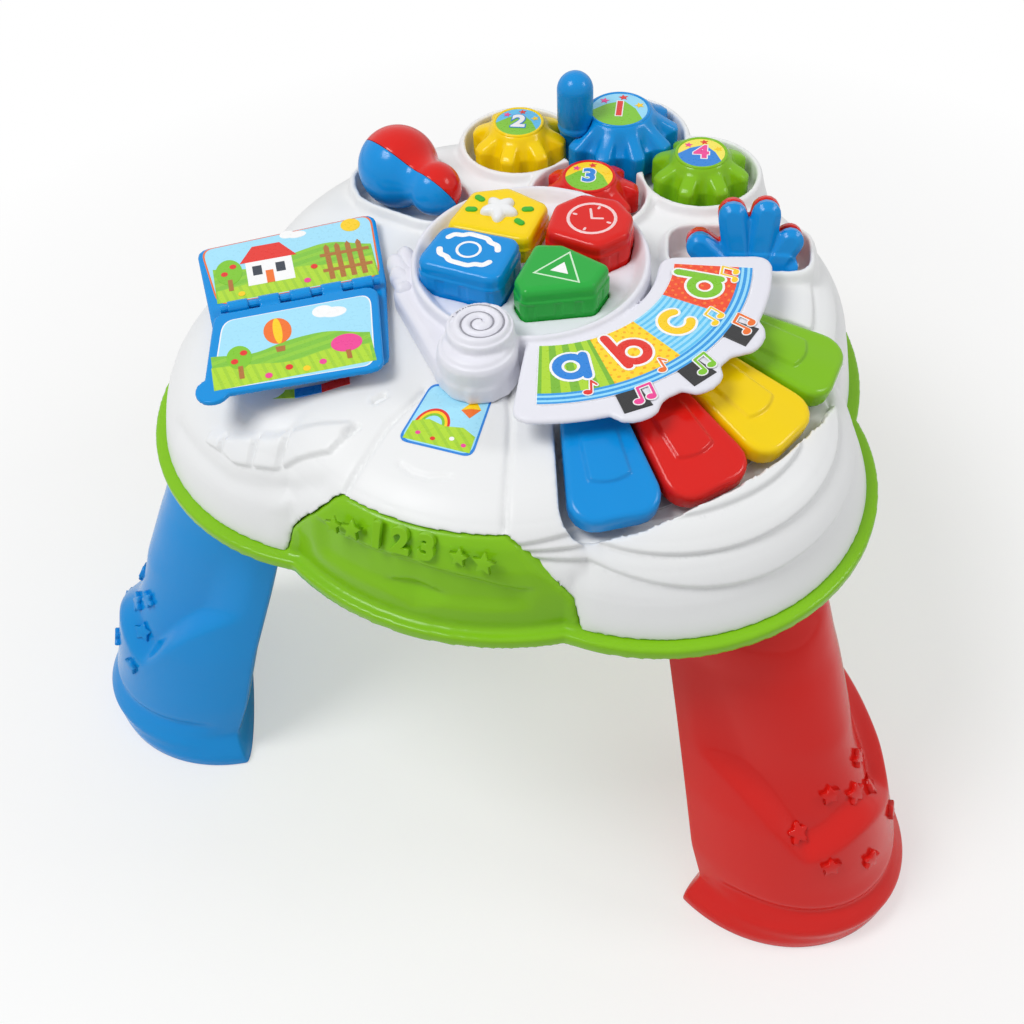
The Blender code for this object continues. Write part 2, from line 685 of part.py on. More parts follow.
LEG_WALL = 0.0032
SOCKET_EXTRA = 0.003
LEG_SCOOP = (0.018, 0.040, 0.046)
LEG_SCOOP_RISE = 0.1300
LEG_SCOOP_DEPTH = 0.0060
LEG_PAINT = {"left": "blue", "right": "red", "back": "yellow"}
SOCKET_FLOOR = TRAY_FLOOR - PLUG_DEPTH - SOCKET_EXTRA


def leg_face(height):
    """How far the leg's outer face stands from the table axis at a height."""
    heights = [level[0] * LEG_HEIGHT for level in LEG_SHARES]
    reaches = [level[1] * FOOT_CENTRE + level[2] * FOOT_DEPTH for level in LEG_SHARES]
    return float(np.interp(height, heights, reaches))


def leg_scoop(wall):
    place = (leg_face(LEG_SCOOP_RISE) - LEG_SCOOP_DEPTH + LEG_SCOOP[0], 0, LEG_SCOOP_RISE)
    return translate(ball([size + wall for size in LEG_SCOOP]), place)


for (side, paint), angle in zip(LEG_PAINT.items(), LOBE_ANGLES):
    leg = in_scene("leg_" + side, loft([(leg_section(level), level[0] * LEG_HEIGHT) for level in LEG_SHARES]))
    inside = [(leg_section(LEG_SHARES[2], LEG_WALL), LEG_WALL)]
    for level in LEG_SHARES[3:]:
        if level[0] * LEG_HEIGHT < SOCKET_FLOOR - OVERRUN:
            inside.append((leg_section(level, LEG_WALL), level[0] * LEG_HEIGHT))
    inside.append((leg_section(LEG_SHARES[-1], PLUG_INSET + LEG_WALL), SOCKET_FLOOR + OVERRUN / 2))
    hollow = in_scene("hollow", loft(inside))
    cut(hollow, leg_scoop(LEG_WALL))
    combine(leg, hollow, "DIFFERENCE")
    cut(leg, prism(leg_section(LEG_SHARES[-1], PLUG_INSET), SOCKET_FLOOR, TRAY_FLOOR + OVERRUN))
    cut(leg, leg_scoop(0))
    finish_piece(leg, paint, turn=(0, 0, angle))

# Console: the pearl moulding with the button dish, the letter frame, the spiral hub and its arm

HUB_X = -0.0025
HUB_SET = 0.0035
HUB = (HUB_X, DISH_CENTRE[1] - DISH_RADIUS - HUB_SET)
HUB_RADIUS = 0.0185
HUB_TOP = DECK + 0.0350
HUB_EDGE = 0.0045
TONGUE_SET = 0.0060
TONGUE = (HUB_X, HUB[1] - TONGUE_SET)
TONGUE_RADIUS = 0.0220
TONGUE_TOP = DECK + 0.0260
TONGUE_EDGE = 0.0060
ARM_ANGLE = -149.5
ARM_END = polar(DISH_RADIUS, ARM_ANGLE)
ARM_RADIUS = 0.0110
ARM_ROOT_RADIUS = 0.0230
ARM_TOP = DECK + 0.0150
ARM_EDGE = 0.0050
CONSOLE_BOTTOM = DECK + GAP
RING_EDGE = 0.0010
RING_WALL = 0.0030
PANEL_PLATE = 0.0036
PANEL_EDGE = 0.0015
PANEL_CORNER = 0.0090
PANEL_STEP_ANGLE = 2
BLOCK_CORNER = 0.0050
SCALLOP_REACH = 0.0085
SCALLOP_HALF_ANGLE = 6
INSERT_INNER_MARGIN = 0.0085
INSERT_OUTER_MARGIN = 0.0110
INSERT_SIDE_ANGLE = 6
INSERT_DEPTH = 0.0012
INSERT_THICK = 0.0015
INSERT_CORNER = 0.0030

BUTTON_TOP = DECK + 0.0360
FLOWER_TOP = DECK + 0.0315
BUTTON_STROKE = 0.0030
BUTTON_SKIRT = 0.0022
BUTTON_SKIRT_OUT = 0.0012
BUTTON_EDGE = 0.0035
STEM_RADIUS = 0.0045
DOME_RADIUS = 0.0060
DOME_HEIGHT = 0.0045

# Button outlines about the dish centre, in shares of the dish radius, with each button's corner radius

SQUARE_SHARES = ((-0.82, -0.54), (-0.066, -0.585), (-0.058, 0.0), (-0.76, -0.005))
TRIANGLE_SHARES = ((0.037, -0.51), (0.16, -0.655), (0.685, -0.41), (0.73, -0.117), (0.278, 0.03), (0.051, -0.03))
FLOWER_SHARES = ((-0.79, 0.05), (-0.03, 0.05), (-0.022, 0.585), (-0.438, 0.72), (-0.73, 0.575))
CLOCK_SHARES = ((0.075, 0.132), (0.57, 0.06), (0.76, 0.30), (0.73, 0.56), (0.545, 0.74), (0.219, 0.73), (0.044, 0.51))
SQUARE_CORNER = 0.0075
TRIANGLE_CORNER = 0.0040
FLOWER_CORNER = 0.0060
CLOCK_CORNER = 0.0080


def button_outline(shares, corner):
    outline = rounded_polygon(scaled(shares, DISH_RADIUS), corner, 4)
    return moved(outline, DISH_CENTRE)


BUTTONS = {
    "square": ("blue", button_outline(SQUARE_SHARES, SQUARE_CORNER), BUTTON_TOP),
    "triangle": ("leaf", button_outline(TRIANGLE_SHARES, TRIANGLE_CORNER), BUTTON_TOP),
    "flower": ("yellow", button_outline(FLOWER_SHARES, FLOWER_CORNER), FLOWER_TOP),
    "clock": ("red", button_outline(CLOCK_SHARES, CLOCK_CORNER), BUTTON_TOP),
}


def scallop(angle):
    """Reach of the frame's bumps, one over each seam between two keys."""
    seams = [key_angle(index) + KEY_PITCH_ANGLE / 2 for index in range(KEY_COUNT - 1)]
    off = min(abs(angle - seam) for seam in seams) / SCALLOP_HALF_ANGLE
    return SCALLOP_REACH * sqrt(1 - off * off) if off < 1 else 0


def panel_sector(inner, outer, step, corner, **more):
    outline = sector(inner, outer, PANEL_START_ANGLE + step, PANEL_END_ANGLE - step, (corner, corner), **more)
    return moved(outline, FAN_CENTRE)


def insert_outline(shrink):
    step = INSERT_SIDE_ANGLE + degrees(shrink / PANEL_INNER)
    inner, outer = PANEL_INNER + INSERT_INNER_MARGIN + shrink, PANEL_OUTER - INSERT_OUTER_MARGIN - shrink
    return panel_sector(inner, outer, step, INSERT_CORNER)


def build_console():
    deep = CONSOLE_BOTTOM - OVERRUN
    ring = [(DISH_RADIUS + DISH_FLARE, deep), (DISH_RADIUS, DISH_RIM - RING_EDGE), (DISH_RADIUS - RING_EDGE, DISH_RIM)]
    console = in_scene("console", translate(turned(ring, FINE_STEPS), (*DISH_CENTRE, 0)))
    frame = panel_sector(PANEL_INNER, PANEL_OUTER, 0, PANEL_CORNER, steps=44, swell=scallop)
    add(console, padded(frame, PANEL_TOP - PANEL_PLATE, PANEL_TOP, PANEL_EDGE))
    block_outer = KEY_WELL_INNER - GAP
    block = panel_sector(PANEL_INNER, block_outer, PANEL_STEP_ANGLE, BLOCK_CORNER)
    add(console, prism(block, deep, PANEL_TOP - WALL))
    arm = capsule(TONGUE, ARM_END, ARM_ROOT_RADIUS, ARM_RADIUS)
    add(console, padded(arm, deep, ARM_TOP, ARM_EDGE))
    add(console, padded(circle(TONGUE_RADIUS, ROUND_STEPS, TONGUE), deep, TONGUE_TOP, TONGUE_EDGE))
    add(console, padded(circle(HUB_RADIUS, ROUND_STEPS, HUB), deep, HUB_TOP, HUB_EDGE))
    cut(console, prism(circle(2 * PANEL_OUTER, ROD_STEPS), deep - OVERRUN, CONSOLE_BOTTOM))
    mouth = DISH_RADIUS - RING_WALL
    slope = (mouth - DISH_FLOOR_RADIUS) / DISH_DEPTH * OVERRUN
    bowl = [(DISH_FLOOR_RADIUS, DISH_FLOOR), (mouth, DISH_RIM), (mouth + slope, DISH_RIM + OVERRUN)]
    bowl = in_scene("bowl", translate(turned(bowl, FINE_STEPS), (*DISH_CENTRE, 0)))
    cut(bowl, prism(circle(HUB_RADIUS, ROUND_STEPS, HUB), DISH_FLOOR - OVERRUN, DISH_RIM + 2 * OVERRUN))
    combine(console, bowl, "DIFFERENCE")
    hollow = rod(DISH_RADIUS - WALL, CONSOLE_BOTTOM - OVERRUN, DISH_FLOOR - WALL, FINE_STEPS)
    cut(console, translate(hollow, (*DISH_CENTRE, 0)))
    inner = panel_sector(PANEL_INNER + 2 * WALL, block_outer - WALL, 2 * PANEL_STEP_ANGLE, BLOCK_CORNER)
    cut(console, prism(inner, CONSOLE_BOTTOM - OVERRUN, PANEL_TOP - 2 * WALL))
    cut(console, prism(grown(arm, -WALL), CONSOLE_BOTTOM - OVERRUN, ARM_TOP - 2 * WALL))
    cut(console, prism(insert_outline(0), PANEL_TOP - INSERT_DEPTH, PANEL_TOP + OVERRUN))
    space, neck = gear_pitch("red") + GEAR_MODULE + SIDE_CLEAR, gear_pitch("red") * MIDDLE_FOOT_SHARE + 2 * SIDE_CLEAR
    space = [(space, deep - OVERRUN), (space, PETAL_TOPS["red"] + SIDE_CLEAR), (neck, GEAR_TOPS["red"])]
    cut(console, translate(turned(space, FINE_STEPS), (*gear_centre("red"), 0)))
    for _, outline, _ in BUTTONS.values():
        cut(console, prism(grown(outline, SLIDE_GAP), DISH_FLOOR - WALL - OVERRUN, DISH_RIM + OVERRUN))
    return finish_piece(console, "pearl")


SIDE_CLEAR = 0.0012
MIDDLE_FOOT_SHARE = 0.68
GEAR_TOPS = {"blue": DECK + 0.0245, "yellow": DECK + 0.0195, "green": DECK + 0.0195, "red": DECK + 0.0180}
PETAL_TOPS = {"blue": DECK + 0.0150, "yellow": DECK + 0.0135, "green": DECK + 0.0135, "red": DECK + 0.0112}
build_console()
INSERT_LOW = PANEL_TOP - INSERT_DEPTH + GAP
piece("letter_panel", prism(insert_outline(GAP), INSERT_LOW, INSERT_LOW + INSERT_THICK), "blue")

# Shape buttons: each is a domed cap with a skirt under the dish floor and a stem over a rubber dome on the board

BOARD_TOP = BOARD_BOTTOM + BOARD_THICK
DOME_TOP = BOARD_TOP + GAP + DOME_HEIGHT
DOME_EDGE = 0.0010
DOME_TAPER_SHARE = 0.9
SKIRT_TOP = DISH_FLOOR - WALL - GAP

for name, (paint, outline, top) in BUTTONS.items():
    centre = middle(outline)
    cap = [(x - centre[0], y - centre[1]) for x, y in outline]
    button = in_scene("button_" + name, padded(cap, SKIRT_TOP - BUTTON_SKIRT / 2, top, BUTTON_EDGE))
    add(button, prism(grown(cap, BUTTON_SKIRT_OUT), SKIRT_TOP - BUTTON_SKIRT, SKIRT_TOP))
    add(button, rod(STEM_RADIUS, DOME_TOP + GAP, SKIRT_TOP - BUTTON_SKIRT / 2))
    finish_piece(button, paint, (*centre, 0))
    dome = [(DOME_RADIUS, BOARD_TOP + GAP), (DOME_RADIUS * DOME_TAPER_SHARE, DOME_TOP - DOME_EDGE)]
    piece("dome_" + name, turned(dome + [(STEM_RADIUS, DOME_TOP)], ROD_STEPS), "rubber", (*centre, 0))

# Piano keys: sector-shaped levers that hinge under the letter frame and slope down outward

KEY_EDGE = 0.0030
KEY_BACK_CORNER = 0.0010
KEY_NAMES = ("blue", "red", "yellow", "green")


def key_outline():
    """Top view about the hinge: straight sides on two radii, rounded outer corners."""
    slope = tan(radians(KEY_PITCH_ANGLE / 2))
    inner_half = (KEY_HINGE_RADIUS - KEY_BACK) * slope - KEY_SIDE_GAP
    outer_half = KEY_END_RADIUS * slope - KEY_SIDE_GAP
    reach = KEY_LENGTH / cos(radians(KEY_TILT_ANGLE))
    corners = [(-KEY_BACK, -inner_half), (reach, -outer_half), (reach, outer_half), (-KEY_BACK, inner_half)]
    return rounded_polygon(corners, (KEY_BACK_CORNER, KEY_CORNER, KEY_CORNER, KEY_BACK_CORNER), 6)


for index, paint in enumerate(KEY_NAMES):
    key = padded(key_outline(), KEY_DROP - KEY_THICK, KEY_DROP, KEY_EDGE)
    place = (*polar(KEY_HINGE_RADIUS, key_angle(index), FAN_CENTRE), KEY_HINGE_Z)
    piece("key_" + paint, key, paint, place, (0, KEY_TILT_ANGLE, key_angle(index)))

# Key strip: one rubber strip of four low domes, each just clear of its key when that is fully down

STRIP_REACH = 0.0320
STRIP_WIDTH = 0.0140
STRIP_SIDE = -0.0080
STRIP_CORNER = 0.0030
STRIP_THICK = 0.0016
STRIP_DOME = 0.0050
STRIP_BOTTOM = KEY_WELL_FLOOR + GAP
STRIP_TOP = STRIP_BOTTOM + STRIP_THICK
STRIP_INNER = KEY_HINGE_RADIUS + STRIP_REACH
DOWN_ANGLE = radians(KEY_TILT_ANGLE + KEY_PRESS_ANGLE)
STRIP_FALL = (STRIP_REACH + STRIP_WIDTH / 2 + STRIP_DOME) * tan(DOWN_ANGLE)
STRIP_DOME_TOP = KEY_HINGE_Z - STRIP_FALL - (KEY_THICK - KEY_DROP) / cos(DOWN_ANGLE) - GAP

strip_outline = fan(STRIP_INNER, STRIP_INNER + STRIP_WIDTH, STRIP_SIDE, (STRIP_CORNER, STRIP_CORNER))
strip = in_scene("key_strip", prism(strip_outline, STRIP_BOTTOM, STRIP_TOP))
for index in range(KEY_COUNT):
    spot = polar(STRIP_INNER + STRIP_WIDTH / 2, key_angle(index), FAN_CENTRE)
    add(strip, prism(circle(STRIP_DOME, ROD_STEPS, spot), STRIP_TOP - GAP, STRIP_DOME_TOP))
finish_piece(strip, "rubber")

# Gears: a raised middle falls to rounded petals. Their tips and hollows are traced by one rolling circle, so that the
# wheels mesh on their pitch circles

PETAL_STEPS = 6
GEAR_SHRINK = 0.00045
GEAR_LIFT = 0.0010
PETAL_EDGE = 0.0030
PETAL_SHARE = 0.90
MIDDLE_SHARE = 0.57
MIDDLE_STEP = 0.0040
HOLLOW_SHARE = 0.70
AXLE_RADIUS = 0.0040
AXLE_FOOT_RADIUS = 0.0085
AXLE_FOOT = 0.0020
GEAR_BASE = GEAR_FLOOR + AXLE_FOOT + GAP + GEAR_LIFT
LEADER_PHASE = 90

KNOB_RADIUS = 0.0115
KNOB_LENGTH = 0.0400
KNOB_REACH_SHARE = 0.803
KNOB_ANGLE = 210
KNOB_SEAT = PETAL_TOPS["blue"] + GAP
KNOB_TAPER_SHARE = 0.92
KNOB_FOOT = 0.0020


def petal_outline(teeth, phase):
    """Petals on the rolling circle outside the pitch circle, hollows on it inside."""
    pitch, rolling = GEAR_MODULE * teeth, GEAR_MODULE / 2
    points = []
    for step in range(teeth * PETAL_STEPS):
        turn = 2 * pi * step / (teeth * PETAL_STEPS)
        sense = 1 if step % PETAL_STEPS < PETAL_STEPS / 2 else -1
        far = pitch + sense * rolling
        x = far * cos(turn) - sense * rolling * cos(far / rolling * turn)
        y = far * sin(turn) - rolling * sin(far / rolling * turn)
        points.append((x, y))
    return moved(grown(points, -GEAR_SHRINK), (0, 0), phase - 90 / teeth)


def mesh_phase(follower):
    """Angle of the follower's first petal, so that its hollow faces the blue gear's nearest petal."""
    toward, teeth = GEAR_ANGLES[follower], GEAR_TEETH[follower]
    return toward + 180 - (LEADER_PHASE - toward) * GEAR_TEETH["blue"] / teeth - 180 / teeth


def build_gear(colour):
    teeth, pitch = GEAR_TEETH[colour], gear_pitch(colour)
    phase = LEADER_PHASE if colour == "blue" else mesh_phase(colour)
    top, petal_top = GEAR_TOPS[colour], PETAL_TOPS[colour]
    edge = petal_outline(teeth, phase)
    around = moved(circle(pitch, len(edge)), (0, 0), phase - 90 / teeth)
    levels = [(edge, GEAR_BASE), (edge, petal_top - PETAL_EDGE), (scaled(edge, PETAL_SHARE), petal_top)]
    levels.append((scaled(around, MIDDLE_FOOT_SHARE), top - MIDDLE_STEP))
    levels.append((scaled(around, MIDDLE_SHARE), top))
    gear = in_scene("gear_" + colour, loft(levels))
    bore_top = petal_top - WALL
    cut(gear, rod(pitch * HOLLOW_SHARE, GEAR_BASE - OVERRUN, bore_top, ROUND_STEPS))
    add(gear, rod(AXLE_RADIUS + WALL, GEAR_BASE, bore_top + WALL / 2, ROD_STEPS))
    cut(gear, rod(AXLE_RADIUS + GAP, GEAR_BASE - OVERRUN, bore_top, ROD_STEPS))
    if colour == "blue":
        seat = circle(KNOB_RADIUS + GAP, ROUND_STEPS, KNOB_OFFSET)
        cut(gear, prism(seat, KNOB_SEAT - GAP, top + OVERRUN))
    centre = (*gear_centre(colour), 0)
    finish_piece(gear, colour, centre)
    axle = [(AXLE_FOOT_RADIUS, GEAR_FLOOR + GAP), (AXLE_FOOT_RADIUS, GEAR_FLOOR + AXLE_FOOT)]
    axle += [(AXLE_RADIUS, GEAR_FLOOR + AXLE_FOOT), (AXLE_RADIUS, bore_top - GAP)]
    piece("axle_" + colour, turned(axle, ROD_STEPS), "white", centre)


KNOB_OFFSET = polar(KNOB_REACH_SHARE * gear_pitch("blue"), KNOB_ANGLE)
for colour in GEAR_TEETH:
    build_gear(colour)

knob_neck = KNOB_SEAT + KNOB_LENGTH - KNOB_RADIUS
knob = [(KNOB_RADIUS * KNOB_TAPER_SHARE, KNOB_SEAT), (KNOB_RADIUS, KNOB_SEAT + KNOB_FOOT), (KNOB_RADIUS, knob_neck)]
for angle in np.linspace(0, pi / 2, 6)[1:-1]:
    knob.append((KNOB_RADIUS * cos(angle), knob_neck + KNOB_RADIUS * sin(angle)))
knob_place = (BLUE_GEAR_PLACE[0] + KNOB_OFFSET[0], BLUE_GEAR_PLACE[1] + KNOB_OFFSET[1], 0)
piece("gear_knob", turned(knob, 16), "blue", knob_place)

# Maraca: a closed rattle of two bulbs, split along its length into a blue front half and a red back half

MARACA_NECK = 0.0140
MARACA_NECK_SHARE = 0.62
MARACA_BULB_WALL = 0.0020
MARACA_Z = MARACA_FLOOR + MARACA_BIG_RADIUS + GAP
MARACA_HALVES = {"front": ("blue", -1), "back": ("red", 1)}
POLE_ANGLE = pi / 14
BIG_BULB_END = 0.74 * pi
SMALL_BULB_START = 0.36 * pi


def maraca_profile(inset):
    """(radius, distance along) from the big bulb's end to the small bulb's end."""
    big, small = MARACA_BIG_RADIUS - inset, MARACA_SMALL_RADIUS - inset
    profile = [(big * sin(a), -big * cos(a)) for a in np.linspace(POLE_ANGLE, BIG_BULB_END, 8)]
    profile.append((MARACA_NECK - inset, MARACA_LENGTH * MARACA_NECK_SHARE))
    small_angles = np.linspace(SMALL_BULB_START, pi - POLE_ANGLE, 5)
    return profile + [(small * sin(a), MARACA_LENGTH - small * cos(a)) for a in small_angles]


for side, (paint, way) in MARACA_HALVES.items():
    half = in_scene("maraca_" + side, rotate(turned(maraca_profile(0), 20), 90, "Y"))
    cut(half, rotate(turned(maraca_profile(MARACA_BULB_WALL), ROD_STEPS), 90, "Y"))
    reach = MARACA_LENGTH + 2 * MARACA_BIG_RADIUS
    keep = rectangle(2 * reach, reach, GAP, 2)
    keep = moved(keep, (0, way * (reach + GAP) / 2))
    combine(half, in_scene("keep", prism(keep, -reach, reach)), "INTERSECT")
    finish_piece(half, paint, (*MARACA_BIG, MARACA_Z), (0, 0, MARACA_TURN))

# Castanet: two hand-shaped shells hinged at the foot on one pin, standing in its well and leaning back

PALM_RADIUS = 0.0078
PALM_SPAN = 0.0340
PALM_X = 0.0020
FINGER_TIPS = ((-0.0310, 0.0180), (-0.0130, 0.0360), (0.0060, 0.0375), (0.0210, 0.0220))
FINGER_RADII = (0.0080, 0.0085, 0.0085, 0.0080)
FINGER_ROOT_SHARE = 0.55
SLIM_STEP = 0.0003
CASTANET_THICK = 0.0110
CASTANET_SPLIT = 0.0005
CASTANET_LEAN = -20
CLAP_ANGLE = 12
CLAP_EASE_ANGLE = 2
PIN_RADIUS = 0.0015
PIN_HEIGHT = 0.0060
PIN_PROUD = 0.0010
HEEL_REACH = 0.0200
CASTANET_HALVES = {"front": ("blue", 1), "back": ("red", -1)}
STAND_DROP = PIN_HEIGHT * cos(radians(CASTANET_LEAN)) - CASTANET_THICK * sin(radians(CASTANET_LEAN))
CASTANET_PIN = (*CASTANET_PLACE, CASTANET_FLOOR + STAND_DROP + GAP)


def hand(way):
    """One half about the pin's axis: a flat palm with four fingers, on the front or the back of the split."""
    near, far = sorted((way * CASTANET_SPLIT, way * CASTANET_THICK))
    palm_left, palm_right = (PALM_X - PALM_SPAN / 2, PALM_RADIUS), (PALM_X + PALM_SPAN / 2, PALM_RADIUS)
    shape = in_scene("castanet", prism(capsule(palm_left, palm_right, PALM_RADIUS, PALM_RADIUS), near, far))
    for index, (tip, radius) in enumerate(zip(FINGER_TIPS, FINGER_RADII)):
        root = (tip[0] * FINGER_ROOT_SHARE, PALM_RADIUS + GAP * index)
        slim = SLIM_STEP * (index + 1)
        add(shape, prism(capsule(root, tip, radius + slim, radius), near + slim, far - slim))
    shape.data.transform(Matrix.Rotation(radians(90), 4, "X"))
    shape.data.transform(Matrix.Translation((0, 0, -PIN_HEIGHT)))
    return shape


for side, (paint, way) in CASTANET_HALVES.items():
    half = hand(way)
    half.name = "castanet_" + side
    cut(half, rotate(rod(PIN_RADIUS + GAP, -PALM_SPAN, PALM_SPAN), 90, "Y"))
    if side == "back":
        swing = CLAP_ANGLE + CLAP_EASE_ANGLE
        ease = [(-OVERRUN, -HEEL_REACH), (HEEL_REACH * tan(radians(swing)), -HEEL_REACH), (0, 0), (-OVERRUN, 0)]
        cut(half, rotate(rotate(prism(moved(ease, (CASTANET_SPLIT, 0)), -PALM_SPAN, PALM_SPAN), 90, "X"), 90, "Z"))
        ground = prism(rectangle(2 * PALM_SPAN, 2 * PALM_SPAN, GAP, 2), -PALM_SPAN, -STAND_DROP)
        cut(half, rotate(ground, swing - CASTANET_LEAN, "X"))
    finish_piece(half, paint, CASTANET_PIN, (CASTANET_LEAN, 0, CASTANET_TURN))
pin_half = PALM_SPAN / 2 + PALM_RADIUS + PIN_PROUD
pin = translate(rotate(rod(PIN_RADIUS, -pin_half, pin_half), 90, "Y"), (PALM_X, 0, 0))
piece("castanet_pin", pin, "steel", CASTANET_PIN, (CASTANET_LEAN, 0, CASTANET_TURN))

# Book: a base plate on the platform, one turning page, and the hinge pin through their knuckles. Page corners are
# shares of half the book's length and of the page's width

PAGE_THICK = 0.0030
PAGE_CORNER = 0.0070
PAGE_EDGE = 0.0006
BASE_EDGE = 0.0010
BASE_BOTTOM = BOOK_PLATFORM + GAP
BASE_TOP = BASE_BOTTOM + PAGE_THICK
HINGE_RADIUS = 0.0022
KNUCKLE_RADIUS = 0.0040
KNUCKLE_LENGTH = 0.0120
KNUCKLE_WEB = 0.0104
KNUCKLE_PITCH = 0.0180
WEB_SHARE = 0.8
HINGE_Z = BASE_TOP + KNUCKLE_RADIUS + GAP
HINGE_CLEAR = KNUCKLE_RADIUS + 0.0008
BOOK_HALF = BOOK_LENGTH / 2
BASE_SHARES = ((-1.087, -0.067), (-1.174, -0.972), (1.217, -0.889), (1.087, 0.889), (-0.87, 0.889))
PAGE_SHARES = ((-0.957, 0.067), (1.087, 0.067), (1.348, 0.972), (-0.783, 1.028))
TAB_SHARES = (1.217, 0.917)
TAB_RADIUS = 0.0095
PAGE_HALF = 0.0016
PAGE_WEB = 0.0013
TAB_STEP = 0.0001
TAB_EDGE = 0.0005


def book_points(shares):
    return [(x * BOOK_HALF, y * PAGE_WIDTH) for x, y in shares]


def knuckle(shape, x):
    tube = rod(KNUCKLE_RADIUS, -KNUCKLE_LENGTH / 2, KNUCKLE_LENGTH / 2)
    return add(shape, translate(rotate(tube, 90, "Y"), (x, 0, 0)))


def hinge_bore(shape):
    return cut(shape, rotate(rod(HINGE_RADIUS + GAP, -BOOK_LENGTH, BOOK_LENGTH), 90, "Y"))


def place_on_hinge(item, paint):
    return finish_piece(item, paint, (*BOOK_PLACE, HINGE_Z), (0, 0, BOOK_TURN))


base_outline = rounded_polygon(book_points(BASE_SHARES), PAGE_CORNER)
base = in_scene("book_base", padded(base_outline, BASE_BOTTOM - HINGE_Z, BASE_TOP - HINGE_Z, BASE_EDGE))
for step in (-2, 0, 2):
    foot = moved(rectangle(KNUCKLE_WEB, 2 * KNUCKLE_RADIUS * WEB_SHARE, GAP, 2), (step * KNUCKLE_PITCH, 0))
    add(base, prism(foot, BASE_TOP - HINGE_Z - PAGE_THICK / 2, 0))
    knuckle(base, step * KNUCKLE_PITCH)
place_on_hinge(hinge_bore(base), "blue")

page_outline = rounded_polygon(book_points(PAGE_SHARES), PAGE_CORNER)
page = in_scene("book_page", padded(page_outline, -PAGE_HALF, PAGE_HALF, PAGE_EDGE))
tab = circle(TAB_RADIUS, ROUND_STEPS, book_points([TAB_SHARES])[0])
add(page, padded(tab, -PAGE_HALF + TAB_STEP, PAGE_HALF + TAB_STEP, TAB_EDGE))
for step in (-1, 1):
    web = moved(rectangle(KNUCKLE_WEB, 2 * HINGE_CLEAR, GAP, 2), (step * KNUCKLE_PITCH, HINGE_CLEAR))
    add(page, prism(web, -PAGE_WEB, PAGE_WEB))
    knuckle(page, step * KNUCKLE_PITCH)
place_on_hinge(hinge_bore(page), "blue")
hinge_pin = rotate(rod(HINGE_RADIUS, -BOOK_HALF, BOOK_HALF), 90, "Y")
place_on_hinge(in_scene("book_pin", hinge_pin), "steel")

# Inside the tray: board, speaker, batteries, door, power switch and screws

SPEAKER_STEP = 0.0025
SPEAKER_RISE = 0.0070
SPEAKER_BACK = 0.0105
MAGNET_SHARE = 0.45
MAGNET_TOP_SHARE = 0.42
TERMINAL_RADIUS = 0.0027
TERMINAL = 0.0010
CELL_EDGE = 0.0002
SWITCH_NUB = 0.0020
SWITCH_PLATE = 0.0016
SWITCH_CORNER = 0.0005
CASE_SCREW_SHORT = 0.0010

board = prism(rectangle(2 * BOARD_HALF, 2 * BOARD_HALF, BOARD_CORNER, 3), BOARD_BOTTOM, BOARD_TOP)
piece("circuit_board", board, "board")

speaker = [(SPEAKER_RADIUS, TRAY_PLATE + GAP), (SPEAKER_RADIUS, TRAY_PLATE + SPEAKER_STEP)]
speaker.append((SPEAKER_RADIUS * MAGNET_SHARE, TRAY_PLATE + SPEAKER_RISE))
speaker.append((SPEAKER_RADIUS * MAGNET_TOP_SHARE, TRAY_PLATE + SPEAKER_BACK))
piece("speaker", turned(speaker), "dark", (*SPEAKER_PLACE, 0))

cell_half = BATTERY_LENGTH / 2
shoulder = cell_half - TERMINAL
cell = [(BATTERY_RADIUS, -cell_half), (BATTERY_RADIUS, shoulder), (TERMINAL_RADIUS, shoulder + CELL_EDGE)]
cell.append((TERMINAL_RADIUS, cell_half))
for index in range(BATTERY_COUNT):
    x = BOX_PLACE[0] + (index - (BATTERY_COUNT - 1) / 2) * BATTERY_PITCH
    place = (x, BOX_PLACE[1], DOOR_TOP + 2 * GAP + BATTERY_RADIUS)
    piece(f"battery_{index + 1}", rotate(turned(cell, ROD_STEPS), 90, "X"), "steel", place)

door_outline = rectangle(BOX_WIDTH + 2 * (DOOR_LEDGE - GAP), BOX_LENGTH + 2 * (DOOR_LEDGE - GAP), WALL)
door = in_scene("battery_door", prism(door_outline, TRAY_FLOOR, DOOR_TOP))
for radius, high in ((DOOR_SCREW, DOOR_TOP + OVERRUN), (DOOR_SCREW_HEAD, TRAY_FLOOR + DOOR_THICK / 2)):
    cut(door, prism(circle(radius + GAP, ROD_STEPS, DOOR_SCREW_SPOT), TRAY_FLOOR - OVERRUN, high))
finish_piece(door, "green", (*BOX_PLACE, 0))


def screw(name, radius, head_radius, head, length, place):
    profile = [(head_radius, 0), (head_radius, head - GAP), (radius, head - GAP), (radius, length)]
    return piece(name, turned(profile, HOLE_STEPS), "steel", (*place, TRAY_FLOOR))


door_screw_place = (BOX_PLACE[0] + DOOR_SCREW_SPOT[0], BOX_PLACE[1] + DOOR_SCREW_SPOT[1])
screw("door_screw", DOOR_SCREW, DOOR_SCREW_HEAD, DOOR_THICK / 2, DOOR_SCREW_LENGTH, door_screw_place)
for index, spot in enumerate(SCREW_SPOTS):
    length = FLANGE_THICK + SCREW_DEPTH - CASE_SCREW_SHORT
    screw(f"case_screw_{index + 1}", SCREW_RADIUS, SCREW_HEAD_RADIUS, SCREW_HEAD, length, spot)

